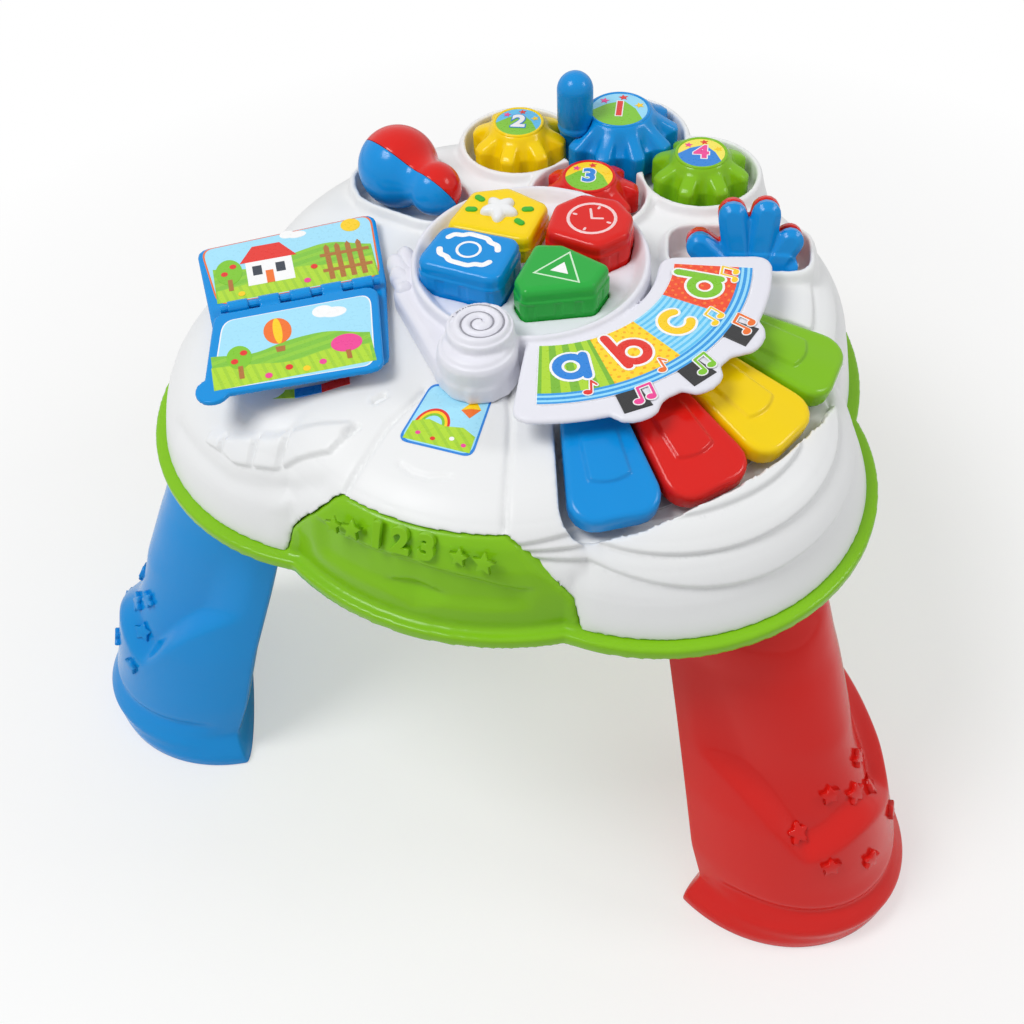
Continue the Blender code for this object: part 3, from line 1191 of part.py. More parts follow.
switch_plate = rectangle(2 * SWITCH_LENGTH, 2 * SWITCH_WIDTH, 2 * SWITCH_CORNER, 2)
switch_low = TRAY_PLATE + GAP
switch = in_scene("power_switch", prism(switch_plate, switch_low, switch_low + SWITCH_PLATE))
nub = moved(rectangle(SWITCH_LENGTH, SWITCH_WIDTH, SWITCH_CORNER, 2), (-SWITCH_TRAVEL / 2, 0))
add(switch, prism(nub, TRAY_FLOOR - SWITCH_NUB, TRAY_PLATE + SWITCH_PLATE))
finish_piece(switch, "dark", (*SWITCH_PLACE, 0))
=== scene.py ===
"""Looks of the baby activity table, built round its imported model. Metres, +Z up, the floor at z = 0."""

import json
from contextlib import contextmanager
from math import cos, pi, radians, sin

import bpy
import numpy as np
from mathutils import Matrix, Vector

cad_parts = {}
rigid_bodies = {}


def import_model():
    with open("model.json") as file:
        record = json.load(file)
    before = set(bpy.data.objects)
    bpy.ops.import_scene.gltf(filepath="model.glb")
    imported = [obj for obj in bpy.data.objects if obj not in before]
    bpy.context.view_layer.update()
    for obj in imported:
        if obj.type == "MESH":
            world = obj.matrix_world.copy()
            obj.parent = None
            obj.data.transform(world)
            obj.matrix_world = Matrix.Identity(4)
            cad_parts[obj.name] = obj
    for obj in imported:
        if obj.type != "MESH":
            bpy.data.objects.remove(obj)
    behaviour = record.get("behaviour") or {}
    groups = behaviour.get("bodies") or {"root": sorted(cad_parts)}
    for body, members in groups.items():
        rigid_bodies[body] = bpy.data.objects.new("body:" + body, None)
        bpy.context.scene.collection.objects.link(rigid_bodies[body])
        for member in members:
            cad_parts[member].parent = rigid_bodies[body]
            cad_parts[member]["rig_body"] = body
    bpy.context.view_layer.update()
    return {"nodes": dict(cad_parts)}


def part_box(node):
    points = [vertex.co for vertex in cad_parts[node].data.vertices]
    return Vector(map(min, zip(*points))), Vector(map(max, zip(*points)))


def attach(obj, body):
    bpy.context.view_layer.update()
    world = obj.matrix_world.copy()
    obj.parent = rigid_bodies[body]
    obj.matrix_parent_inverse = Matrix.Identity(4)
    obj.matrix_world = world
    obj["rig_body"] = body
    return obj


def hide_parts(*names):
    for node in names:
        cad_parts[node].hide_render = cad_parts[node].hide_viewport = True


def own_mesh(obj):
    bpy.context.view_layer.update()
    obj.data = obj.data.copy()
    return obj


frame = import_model()

# Studio: a pale sweep under and behind the table, one big soft lamp above on the left, a weaker one on the right,
# and an even white surround. AXIS_Y is where the table's upright axis stands in the frame.

AXIS_Y = -0.061539
CAMERA_PLACE, CAMERA_AIM = (0.2050, -0.61114, 0.8234), (-0.0057, -0.09087, 0.1573)
CAMERA_ROLL, CAMERA_LENS, CAMERA_SENSOR, CAMERA_SHIFT = -3.405, 45.43, 36, (-0.0033, 0.0004)
LAMPS = {"lamp_left": ((-0.7, -0.7, 1.9), (0, 0, 0.2), 0.8, 18.5),
         "lamp_right": ((1.2, 0.3, 1.3), (0, 0, 0.25), 0.5, 5)}
SURROUND_LIGHT = 0.45


def in_scene(name, data):
    item = bpy.data.objects.new(name, data)
    bpy.context.scene.collection.objects.link(item)
    return item


camera_data = bpy.data.cameras.new("camera")
camera_data.lens, camera_data.sensor_width, camera_data.clip_start = CAMERA_LENS, CAMERA_SENSOR, 0.01
camera_data.shift_x, camera_data.shift_y = CAMERA_SHIFT
camera = in_scene("camera", camera_data)
aim = Vector(CAMERA_AIM) - Vector(CAMERA_PLACE)
turn = aim.to_track_quat("-Z", "Y").to_matrix().to_4x4() @ Matrix.Rotation(radians(CAMERA_ROLL), 4, "Z")
camera.matrix_world = Matrix.Translation(CAMERA_PLACE) @ turn
bpy.context.scene.camera = camera
for name, (place, aim, size, power) in LAMPS.items():
    softbox = bpy.data.lights.new(name, "AREA")
    softbox.shape, softbox.size, softbox.energy = "DISK", size, power
    lamp = in_scene(name, softbox)
    lamp.location = place
    lamp.rotation_euler = (Vector(aim) - Vector(place)).to_track_quat("-Z", "Y").to_euler()
bpy.context.scene.view_settings.view_transform = "Standard"


class Value:
    """A shader socket that maths can be written with."""

    def __init__(self, tree, socket):
        self.tree = tree
        self.socket = socket

    def maths(self, operation, *others, swapped=False):
        made = self.tree.nodes.new("ShaderNodeMath")
        made.operation = operation
        inputs = [*others, self] if swapped else [self, *others]
        for slot, item in zip(made.inputs, inputs):
            if isinstance(item, Value):
                self.tree.links.new(item.socket, slot)
            else:
                slot.default_value = item
        return Value(self.tree, made.outputs[0])


def written(operation, swapped=False):
    return lambda self, other: self.maths(operation, other, swapped=swapped)


for sign, operation in (("add", "ADD"), ("sub", "SUBTRACT"), ("mul", "MULTIPLY"), ("truediv", "DIVIDE")):
    setattr(Value, f"__{sign}__", written(operation))
    setattr(Value, f"__r{sign}__", written(operation, swapped=True))
Value.__lt__, Value.__gt__ = written("LESS_THAN"), written("GREATER_THAN")


class Shader:
    """The node tree of one material or of the world."""

    def __init__(self, tree):
        self.tree = tree

    def node(self, kind, settings=None, values=None, output=0):
        made = self.tree.nodes.new("ShaderNode" + kind)
        for name, setting in (settings or {}).items():
            setattr(made, name, setting)
        for slot, item in (values or {}).items():
            self.feed(made.inputs[slot], item)
        return Value(self.tree, made.outputs[output])

    def feed(self, slot, item):
        if isinstance(item, Value):
            self.tree.links.new(item.socket, slot)
        elif isinstance(item, tuple) and len(item) == 3 and slot.type == "RGBA":
            slot.default_value = (*item, 1)
        else:
            slot.default_value = item

    def mix(self, share, low, high):
        """One colour where the share is 0, the other where it is 1."""
        return self.node("Mix", {"data_type": "RGBA"}, {0: share, 6: low, 7: high}, 2)


def new_paint(name):
    """A fresh material, the shader maths of its tree and the inputs of its finish."""
    made = bpy.data.materials.new(name)
    made.use_nodes = True
    return made, Shader(made.node_tree), made.node_tree.nodes["Principled BSDF"].inputs


world = bpy.data.worlds.new("surround")
bpy.context.scene.world = world
world.use_nodes = True
world.node_tree.nodes.clear()
sky = Shader(world.node_tree)
seen = sky.node("LightPath", output="Is Camera Ray") + sky.node("LightPath", output="Is Glossy Ray")
seen = seen + sky.node("LightPath", output="Is Transmission Ray")
strength = SURROUND_LIGHT + (seen > 0.5) * (1 - SURROUND_LIGHT)
backing = sky.node("Background", values={"Color": (1.0, 1.0, 1.0), "Strength": strength})
sky.feed(world.node_tree.nodes.new("ShaderNodeOutputWorld").inputs["Surface"], backing)

FLOOR_WHITE, FLOOR_SIZE, FLOOR_DROP = 0.98, 8, 0.0004
BLEACH_NEAR, BLEACH_START, BLEACH_REACH = 0.45, 0.34, 0.45

bpy.ops.object.select_all(action="DESELECT")
bpy.ops.mesh.primitive_plane_add(size=FLOOR_SIZE, location=(0, 0, -FLOOR_DROP))
floor = bpy.context.object
floor.name = "floor"
floor_paint, paper, finish = new_paint("floor_paint")
fibres = paper.node("TexNoise", values={"Scale": 220.0, "Detail": 4.0})
paper.feed(finish["Base Color"], paper.mix(fibres, (FLOOR_WHITE - 0.02,) * 3, (FLOOR_WHITE,) * 3))
finish["Roughness"].default_value = 0.9
spot = paper.node("TexCoord", output="Object")
off_x, off_y = (paper.node("SeparateXYZ", values={0: spot}, output=axis) for axis in "XY")
out = ((off_x * off_x + off_y * off_y).maths("SQRT") - BLEACH_START) / BLEACH_REACH
out = out.maths("MINIMUM", 1.0).maths("MAXIMUM", 0.0) * (1 - BLEACH_NEAR) + BLEACH_NEAR
lit = paper.node("Emission", values={"Color": (1.0, 1.0, 1.0), "Strength": 1.0})
shown = Value(paper.tree, paper.tree.nodes["Principled BSDF"].outputs[0])
seen = paper.node("LightPath", output="Is Camera Ray") * out
both = paper.node("MixShader", values={0: seen, 1: shown, 2: lit})
paper.feed(paper.tree.nodes["Material Output"].inputs["Surface"], both)
floor.data.materials.append(floor_paint)

# Top shell: the white cover, one thin moulding of satin plastic with bowls for the gears and rattles, drapery folds
# round the key lobe, finger pads under the book, and seam lines that set off the plate with the picture label.

WHITE = (0.84, 0.85, 0.855)
SHELL_VOXEL, SHELL_ROUNDS = 0.0014, 9
MOST_FACES = 190000
OUTLINE_STEPS = 66
LOBES = ((-150, 0.105, 0.130), (-30, 0.105, 0.130), (90, 0.105, 0.130))
RECESSES = ((-90, 0.040, 0.163), (30, 0.040, 0.163), (150, 0.040, 0.163))
SHELL_LEVELS = np.array([
    (0.2603, 0.0069, 0.0072), (0.2831, 0.0129, 0.0101), (0.2992, 0.0211, 0.0140), (0.3111, 0.0318, 0.0202),
    (0.3202, 0.0460, 0.0299), (0.3270, 0.0660, 0.0449), (0.3300, 0.0860, 0.0650),
])
EASE_FULL, EASE_END = 0.004, 0.012
SHEEN = 0.24
CRISP_EDGE = 55


def plastic(name, colour, roughness, mottle=0.03, pores=0.06):
    """Moulded plastic: the colour drifts a little, the skin has a fine orange peel, and the gloss isn't quite even."""
    made, tree, finish = new_paint(name)
    place = tree.node("TexCoord", output="Object")
    drift, peel, wipe = (tree.node("TexNoise", values={"Vector": place, "Scale": scale, "Detail": detail})
                         for scale, detail in ((9.0, 3.0), (650.0, 2.0), (45.0, 5.0)))
    darker = tuple(channel * (1 - 2 * mottle) for channel in colour)
    lighter = tuple(min(channel * (1 + mottle) + mottle * 0.15, 1) for channel in colour)
    tree.feed(finish["Base Color"], tree.mix(drift, darker, lighter))
    tree.feed(finish["Roughness"], roughness * 0.8 + wipe * (roughness * 0.4))
    tree.feed(finish["Normal"], tree.node("Bump", values={"Strength": pores, "Distance": 0.0006, "Height": peel}))
    finish["Specular IOR Level"].default_value = SHEEN
    made.diffuse_color = (*colour, 1)
    return made


def pick(piece):
    bpy.ops.object.select_all(action="DESELECT")
    piece.select_set(True)
    bpy.context.view_layer.objects.active = piece


@contextmanager
def shaping(piece):
    """The piece in edit mode, selected all over."""
    pick(piece)
    bpy.ops.object.mode_set(mode="EDIT")
    bpy.ops.mesh.select_all(action="SELECT")
    yield
    bpy.ops.object.mode_set(mode="OBJECT")


def worked(piece, kind, **settings):
    """A modifier put on the piece and applied."""
    step = piece.modifiers.new(kind.lower(), kind)
    for name, setting in settings.items():
        setattr(step, name, setting)
    pick(piece)
    bpy.ops.object.modifier_apply(modifier=step.name)
    return piece


def smoothed(piece, rounds):
    return worked(piece, "SMOOTH", factor=0.5, iterations=rounds)


def carved(piece, tool):
    """The piece less the tool, which is used up."""
    worked(piece, "BOOLEAN", operation="DIFFERENCE", solver="MANIFOLD", object=tool)
    bpy.data.objects.remove(tool)


def thinned(piece):
    """Decimated, when it has more than MOST_FACES triangles, down to about that many.
    Brought under the most faces that one piece may have.
    """
    if len(piece.data.polygons) * 2 > MOST_FACES:
        worked(piece, "DECIMATE", ratio=MOST_FACES / (2 * len(piece.data.polygons)))


def points_of(piece, kind="co"):
    source = piece.data.vertices if kind == "co" else piece.data.vertex_normals
    flat = np.empty(len(piece.data.vertices) * 3)
    source.foreach_get(kind, flat)
    return flat.reshape(-1, 3)


def put_points(piece, points):
    piece.data.vertices.foreach_set("co", points.ravel())
    piece.data.update()


def softened(node, voxel, rounds):
    """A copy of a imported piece, welded, remeshed into small even faces and smoothed, so that its edges turn soft."""
    piece = in_scene(node + "_moulded", frame["nodes"][node].data.copy())
    piece.data.materials.clear()
    with shaping(piece):
        bpy.ops.mesh.remove_doubles(threshold=0.00001)
        bpy.ops.mesh.customdata_custom_splitnormals_clear()
    worked(piece, "REMESH", mode="VOXEL", voxel_size=voxel * 1)
    return smoothed(piece, rounds)


def coloured(item, paint):
    item.data.materials.clear()
    item.data.materials.append(paint)
    return item


def dressed(piece, paint, *nodes):
    """Painted, smooth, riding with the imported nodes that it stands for. One with its own paints keeps crisp edges."""
    if paint:
        coloured(piece, paint)
    pick(piece)
    if paint:
        bpy.ops.object.shade_smooth()
    else:
        bpy.ops.object.shade_smooth_by_angle(angle=radians(CRISP_EDGE))
    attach(piece, frame["nodes"][nodes[0]]["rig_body"])
    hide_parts(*nodes)
    return piece


def lobed_reach(turns, lobe_inset, recess_inset):
    """How far the three-lobed outline stands from the table axis at each turn."""
    reach = np.zeros_like(turns)
    for circles, inset in ((LOBES, lobe_inset), (RECESSES, recess_inset)):
        for angle, distance, radius in circles:
            across = distance * np.sin(turns - radians(angle))
            along = distance * np.cos(turns - radians(angle))
            far = along + np.sqrt(np.maximum((radius - inset) ** 2 - across**2, 0))
            misses = (np.abs(across) >= radius - inset) | ((along < 0) & (distance > radius - inset))
            reach = np.maximum(reach, np.where(misses, 0, far))
    return reach


def chord_reach(turns, lobe_inset, recess_inset):
    """The same outline as straight chords between its few packed points."""
    step = 2 * pi / OUTLINE_STEPS
    first = np.floor(turns / step) * step
    near, far = (lobed_reach(angle, lobe_inset, recess_inset) for angle in (first, first + step))
    return near * far * sin(step) / (near * np.sin(turns - first) + far * np.sin(first + step - turns))


def smoothstep(low, high, value):
    share = np.clip((value - low) / (high - low), 0, 1)
    return share * share * (3 - 2 * share)


def eased_dome(points):
    """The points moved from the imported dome's flats onto the smooth dome, and where each lies on its profile."""
    x, y, z = points[:, 0], points[:, 1] - AXIS_Y, points[:, 2]
    turns, radius = np.arctan2(y, x) % (2 * pi), np.hypot(x, y)
    flat = [chord_reach(turns, lobe, recess) for _, lobe, recess in SHELL_LEVELS]
    true = [lobed_reach(turns, lobe, recess) for _, lobe, recess in SHELL_LEVELS]
    heights = SHELL_LEVELS[:, 0]
    best, level = np.full(len(points), np.inf), np.zeros(len(points))
    move = np.zeros((len(points), 2))
    for low in range(len(heights) - 1):
        run, rise = flat[low + 1] - flat[low], heights[low + 1] - heights[low]
        share = np.clip(((radius - flat[low]) * run + (z - heights[low]) * rise) / (run**2 + rise**2), 0, 1)
        off = np.hypot(radius - flat[low] - share * run, z - heights[low] - share * rise)
        before, after = max(low - 1, 0), min(low + 2, len(heights) - 1)
        curve = []
        for lane in (true, heights):
            start, end = (lane[low + 1] - lane[before]) / 2, (lane[after] - lane[low]) / 2
            cubic = lane[low] * (1 + 2 * share) * (1 - share) ** 2 + lane[low + 1] * share**2 * (3 - 2 * share)
            curve.append(cubic + start * share * (1 - share) ** 2 + end * share**2 * (share - 1))
        nearer = off < best
        level = np.where(nearer, low + share, level)
        move[nearer, 0] = (curve[0] - flat[low] - share * run)[nearer]
        move[nearer, 1] = (curve[1] - heights[low] - share * rise)[nearer]
        best = np.minimum(best, off)
    move *= (1 - smoothstep(EASE_FULL, EASE_END, best))[:, None]
    eased = points + np.stack([move[:, 0] * np.cos(turns), move[:, 0] * np.sin(turns), move[:, 1]], 1)
    return eased, np.degrees(turns), level


FOLDS = ((1.2, 0.0036), (2.5, 0.0040), (3.9, 0.0034))
FOLD_START_LEVEL, FOLD_TURN, FOLD_DROP, FOLD_FADE = 3.0, -30, 0.7, 0.9
INNER_LAG = 0.45
FACING_OUT = (0.98, 0.96, 0.90, 0.80, 0.62, 0.34, 0.0)
PADS_BACK = ((-0.1396, -0.1410), (-0.1214, -0.1430), (-0.1000, -0.1405), (-0.0728, -0.1335), (-0.0565, -0.1300))
PADS_FRONT = ((-0.1400, -0.1468), (-0.1271, -0.1515), (-0.1184, -0.1555), (-0.1057, -0.1566), (-0.0842, -0.1552),
              (-0.0600, -0.1505), (-0.0545, -0.1400))
PAD_SPANS = ((-0.1398, -0.1290), (-0.1262, -0.1082), (-0.1052, -0.0903), (-0.0873, -0.0548))
PAD_RISE, PAD_EDGE = 0.0036, 0.0007
PAD_CREASE = ((-0.1684, -0.1342, 0.2916), (-0.1470, -0.1491, 0.2928), (-0.1224, -0.1602, 0.2917),
              (-0.1019, -0.1626, 0.2947), (-0.0813, -0.1644, 0.3021), (-0.0608, -0.1657, 0.3139))
CREASE_DEPTH, CREASE_WIDTH = 0.0020, 0.0060
SEAM, SMILE, NOTCH = (0.0026, 0.0015), (0.0016, 0.0016), (0.0045, 0.0016)
GROOVES = (
    (SEAM, ((0.0144, -0.080), (0.0253, -0.1043), (0.0336, -0.1309), (0.0385, -0.1484), (0.0440, -0.1680))),
    (SEAM, ((-0.0271, -0.0969), (-0.0360, -0.1273), (-0.0385, -0.1484), (-0.0440, -0.1680))),
    (SMILE, ((-0.0200, -0.1500), (-0.0120, -0.1535), (-0.0030, -0.1540), (0.0080, -0.1505))),
    (NOTCH, ((-0.0520, -0.1330), (-0.0555, -0.1390))),
    (NOTCH, ((-0.0470, -0.1075), (-0.0500, -0.1125))),
)


def fold_depth(turns, level, inner):
    """Each fold is a sharp crease that opens into a broad soft band below it, round the key lobe only."""
    off = (turns - FOLD_TURN + 180) % 360 - 180
    inside = smoothstep(-62, -50, off) * (1 - smoothstep(38, 60, off))
    spread = smoothstep(-60, -5, off)
    depth = np.zeros_like(level)
    for rest, amount in FOLDS:
        crease = FOLD_START_LEVEL + (rest - FOLD_START_LEVEL) * spread + FOLD_DROP * smoothstep(0, 60, off)
        below = crease - level + np.where(inner, INNER_LAG, 0)
        depth += amount * smoothstep(-0.09, 0.09, below) * np.exp(-np.maximum(below, 0) / FOLD_FADE)
    return depth * inside * smoothstep(0.1, 0.8, level) * (1 - smoothstep(5.0, 5.6, level))


def line_distance(points, line):
    """Distance from each point to a drawn line."""
    best = np.full(len(points), np.inf)
    for start, end in zip(line, line[1:]):
        start, end = np.array(start), np.array(end)
        way = end - start
        share = np.clip(((points - start) @ way) / (way @ way), 0, 1)
        best = np.minimum(best, np.linalg.norm(points - start - share[:, None] * way, axis=1))
    return best


def hump(off, width):
    """One at the middle of a groove or ridge, falling off softly to either side."""
    return np.exp(-((off / width) ** 2))


top_shell = softened("top_shell", SHELL_VOXEL, SHELL_ROUNDS)
eased, turns, level = eased_dome(points_of(top_shell))
put_points(top_shell, eased)
outward = points_of(top_shell, "vector")
plan = eased[:, :2] - (0, AXIS_Y)
lean = np.interp(level, range(len(FACING_OUT)), FACING_OUT)
way = np.stack([lean * np.cos(np.radians(turns)), lean * np.sin(np.radians(turns)), np.sqrt(1 - lean**2)], 1)
inner = (outward * way).sum(axis=1) < -0.3
depth = fold_depth(turns, level, inner)
for (deep, wide), line in GROOVES:
    depth += deep * hump(line_distance(plan, line), wide) * (outward[:, 2] > 0)
x, y = plan[:, 0], plan[:, 1]
back, front = (np.interp(x, *zip(*line)) for line in (PADS_BACK, PADS_FRONT))
for start, end in PAD_SPANS:
    pad = smoothstep(start - PAD_EDGE, start + PAD_EDGE, x) * smoothstep(end + PAD_EDGE, end - PAD_EDGE, x)
    pad *= smoothstep(front - 0.0008, front + 0.0008, y) * smoothstep(back + 0.0010, back - 0.0050, y)
    depth -= PAD_RISE * pad * (outward[:, 2] > 0)
depth += CREASE_DEPTH * hump(line_distance(eased - (0, AXIS_Y, 0), PAD_CREASE), CREASE_WIDTH) * ~inner
put_points(top_shell, eased - way * (depth * (level > 0.02))[:, None])
thinned(smoothed(top_shell, 1))
dressed(top_shell, plastic("shell_white", WHITE, 0.38, mottle=0.012), "top_shell")

# Base tray: the lime green rim that closes the cover from below. Its front pad is seen through the cover's opening,
# with raised numbers and stars over a scooped hollow. Its floor is slotted for the power switch and the speaker.

LIME = (0.225, 0.53, 0.006)
TRAY_VOXEL, TRAY_ROUNDS = 0.0015, 8
RIM_REACH = 0.012
PAD_RIDGE = ((-0.0494, 0.3003), (-0.0012, 0.3014), (0.0300, 0.2975), (0.0547, 0.2904))
PAD_POCKET, PAD_INWARD, PAD_LEAN = 0.0032, (0, 0.9135, -0.4067), 66
DIGITS = (("1", -0.0203), ("2", -0.0070), ("3", 0.0075))
DIGIT_SIZE, DIGIT_WEIGHT, DIGIT_THICK, DIGIT_ROUND, DIGIT_PLACE = 0.019, 0.0007, 0.003, 0.0005, (-0.1846, 0.3102)
PAD_STARS = ((-0.0450, 0.0050), (-0.0345, 0.0062), (0.0250, 0.0056), (0.0385, 0.0066))
STAR_SPAN, STAR_EDGE, STAR_PLACE = (-0.0015, 0.0017), 0.0004, (-0.1847, 0.3095)
SWITCH_SLOT, SWITCH_SIZE = (0.062, 0.010), (0.0148, 0.0068)
GRILLE_ROWS, GRILLE_SIZE = (-0.0780, -0.0715, -0.0650, -0.0585, -0.0520), (0.0250, 0.0028)
SLOT_SPAN = 0.240, 0.262
ORDER_FROM = (0.7137, 0.3391, 0.1773)


def eased_rim(points):
    """The rim's flats pushed out to the true three-lobed outline."""
    x, y = points[:, 0], points[:, 1] - AXIS_Y
    turns, radius = np.arctan2(y, x) % (2 * pi), np.hypot(x, y)
    flat, true = chord_reach(turns, 0, 0), lobed_reach(turns, 0, 0)
    push = (true - flat) * smoothstep(RIM_REACH, RIM_REACH / 2, flat - radius)
    return points + np.stack([push * np.cos(turns), push * np.sin(turns), 0 * push], 1)


def lettering(text, size, weight, thick, font_round=0.0):
    """Flat letters about the origin, pulled up from their outline, with soft edges."""
    bpy.ops.object.select_all(action="DESELECT")
    bpy.ops.object.text_add()
    line = bpy.context.object.data
    line.body, line.size, line.offset, line.extrude, line.bevel_depth = text, size, weight, thick / 2, font_round
    line.align_x, line.align_y = "CENTER", "CENTER"
    bpy.ops.object.convert(target="MESH")
    return bpy.context.object


def slab(outline, low, high, edge=0.0):
    """A flat piece: a filled ring put to an outline, pulled up to its thickness, its top edge bevelled."""
    bpy.ops.object.select_all(action="DESELECT")
    bpy.ops.mesh.primitive_circle_add(vertices=len(outline), fill_type="NGON")
    item = bpy.context.object
    put_points(item, np.array([(x, y, low) for x, y in outline]))
    with shaping(item):
        bpy.ops.mesh.extrude_region_move(TRANSFORM_OT_translate={"value": (0, 0, high - low)})
        if edge:
            bpy.ops.mesh.bevel(offset=edge, segments=3, affect="EDGES")
        bpy.ops.mesh.select_all(action="SELECT")
        bpy.ops.mesh.normals_make_consistent(inside=False)
    return item


def polar(radius, angle, centre=(0, 0)):
    return (centre[0] + radius * cos(radians(angle)), centre[1] + radius * sin(radians(angle)))


def star(radius, waist=0.45):
    return [polar(radius if step % 2 == 0 else radius * waist, 90 + 180 * step / 5) for step in range(10)]


def box(left, low, right, high):
    return [(left, low), (right, low), (right, high), (left, high)]


def joined(name, *items):
    """Several meshes made one piece."""
    pick(items[0])
    for item in items[1:]:
        item.select_set(True)
    bpy.ops.object.join()
    items[0].name = name
    return items[0]


def placed(item, spot, turn=0, lean=0):
    """Leaned about x, turned about z and put at a spot about the table axis, all in the mesh."""
    place = Matrix.Translation((spot[0], spot[1] + AXIS_Y, spot[2]))
    item.data.transform(place @ Matrix.Rotation(radians(turn), 4, "Z") @ Matrix.Rotation(radians(lean), 4, "X"))
    return item


def ordered(piece):
    """Its points, edges and faces put in a set order, by distance: a cut leaves them in another one each time."""
    bpy.context.scene.cursor.location = ORDER_FROM
    with shaping(piece):
        bpy.ops.mesh.sort_elements(type="CURSOR_DISTANCE", elements={"VERT", "EDGE", "FACE"})
    bpy.context.scene.cursor.location = (0, 0, 0)


base_tray = softened("base_tray", TRAY_VOXEL, TRAY_ROUNDS)
shape = eased_rim(points_of(base_tray))
ridge = np.interp(shape[:, 0], *zip(*PAD_RIDGE))
pocket = smoothstep(ridge + 0.0005, ridge - 0.0030, shape[:, 2]) * smoothstep(0.272, 0.284, shape[:, 2])
pocket *= smoothstep(0.066, 0.052, np.abs(shape[:, 0])) * smoothstep(-0.160, -0.170, shape[:, 1] - AXIS_Y)
put_points(base_tray, shape + np.outer(pocket * PAD_POCKET, PAD_INWARD))
for spot, long, wide in [(SWITCH_SLOT, *SWITCH_SIZE)] + [((0, y), *GRILLE_SIZE) for y in GRILLE_ROWS]:
    slot = slab(box(-long / 2, -wide / 2, long / 2, wide / 2), *SLOT_SPAN)
    carved(base_tray, placed(slot, (*spot, 0)))
ordered(base_tray)
thinned(base_tray)
relief = [placed(lettering(text, DIGIT_SIZE, DIGIT_WEIGHT, DIGIT_THICK, DIGIT_ROUND), (x, *DIGIT_PLACE), 0, PAD_LEAN)
          for text, x in DIGITS]
relief += [placed(slab(star(size), *STAR_SPAN, STAR_EDGE), (x, *STAR_PLACE), 0, PAD_LEAN) for x, size in PAD_STARS]
joined("base_tray_moulded", base_tray, *relief)
dressed(base_tray, plastic("rim_lime", LIME, 0.22), "base_tray")

# Legs: three hollow petal feet, each one glossy moulding with a scoop under a raised edge in its outer face, small
# stars and flowers round it and a rolled lip at the foot. They plug onto sockets under the tray.

BLUE, RED, YELLOW = (0.0, 0.275, 0.72), (0.72, 0.010, 0.006), (0.95, 0.67, 0.0)
LEG_TOP = 0.2517
LEG_AROUND, LEG_ROWS, FOOT_ROWS = 168, 130, 22
FOOT = (0.2346, 0.0904, 0.0821)
LEG_LEVELS = np.array([
    (0, 1, 1, 1), (0.030, 1.004, 1.0, 1.0), (0.062, 1.012, 0.975, 0.925), (0.085, 1.012, 0.957, 0.860),
    (0.20, 0.964, 0.967, 0.853), (0.40, 0.897, 0.985, 0.786), (0.60, 0.812, 0.951, 0.682),
    (0.80, 0.733, 0.807, 0.600), (0.895, 0.698, 0.762, 0.600), (0.912, 0.692, 0.725, 0.560), (1, 0.655, 0.690, 0.560),
])
SOCKET_INSET, SOCKET_DEPTH, HOLLOW_INSET = 0.010, 0.0247, 0.0165
SCOOP_DEPTH, SCOOP_HALF = 0.0120, 0.055
SCOOP_FOOT, SCOOP_BOW, SCOOP_SHOULDER, SCOOP_FADE = 0.086, 0.010, 0.060, (0.12, 0.222)
LIP_RIDGE, LIP_GROOVE = (0.0190, 0.0050, 0.0024), (0.0320, 0.0040, 0.0030)
MOTIF_AXIS, MOTIF_FOOT, MOTIF_TOP, MOTIF_EDGE = 0.190, -0.0030, 0.0028, 0.0009
LEG_MOTIFS = ((-22, 0.0945, 0.0075, 0), (-8, 0.1180, 0.0070, 1), (3, 0.1080, 0.0075, 0), (-14, 0.0760, 0.0070, 1),
              (0, 0.0655, 0.0070, 0), (13, 0.0960, 0.0075, 1), (11, 0.1230, 0.0065, 0), (16, 0.0720, 0.0065, 1))


def moulded(name, rings):
    """A closed form wrapped from a flat grid: each row of the grid is laid along one ring and both ends are filled."""
    rings = np.array(rings, float)
    bpy.ops.object.select_all(action="DESELECT")
    bpy.ops.mesh.primitive_grid_add(x_subdivisions=rings.shape[1], y_subdivisions=len(rings) - 1, size=1)
    item = bpy.context.object
    item.name = name
    put_points(item, np.concatenate([rings, rings[:, :1]], 1).reshape(-1, 3))
    with shaping(item):
        bpy.ops.mesh.remove_doubles(threshold=0.000001)
        bpy.ops.mesh.fill_holes(sides=0)
        bpy.ops.mesh.normals_make_consistent(inside=False)
    return item


def leg_ring(share, inset=0.0):
    """One section of a leg at a share of its height: half an ellipse outward, nearly flat toward the axis."""
    place, depth, half = (np.interp(share, LEG_LEVELS[:, 0], LEG_LEVELS[:, column]) for column in (1, 2, 3))
    place, depth, half = place * FOOT[0] + inset, depth * FOOT[1] - 2 * inset, half * FOOT[2] - inset
    outer = np.linspace(-pi / 2, pi / 2, LEG_AROUND * 2 // 3)
    inner = np.linspace(pi / 2, 3 * pi / 2, LEG_AROUND // 3 + 2)[1:-1]
    ring = [(place + depth * cos(a), half * sin(a), share * LEG_TOP) for a in outer]
    return np.array(ring + [(place + 0.1 * depth * cos(a), half * sin(a), share * LEG_TOP) for a in inner])


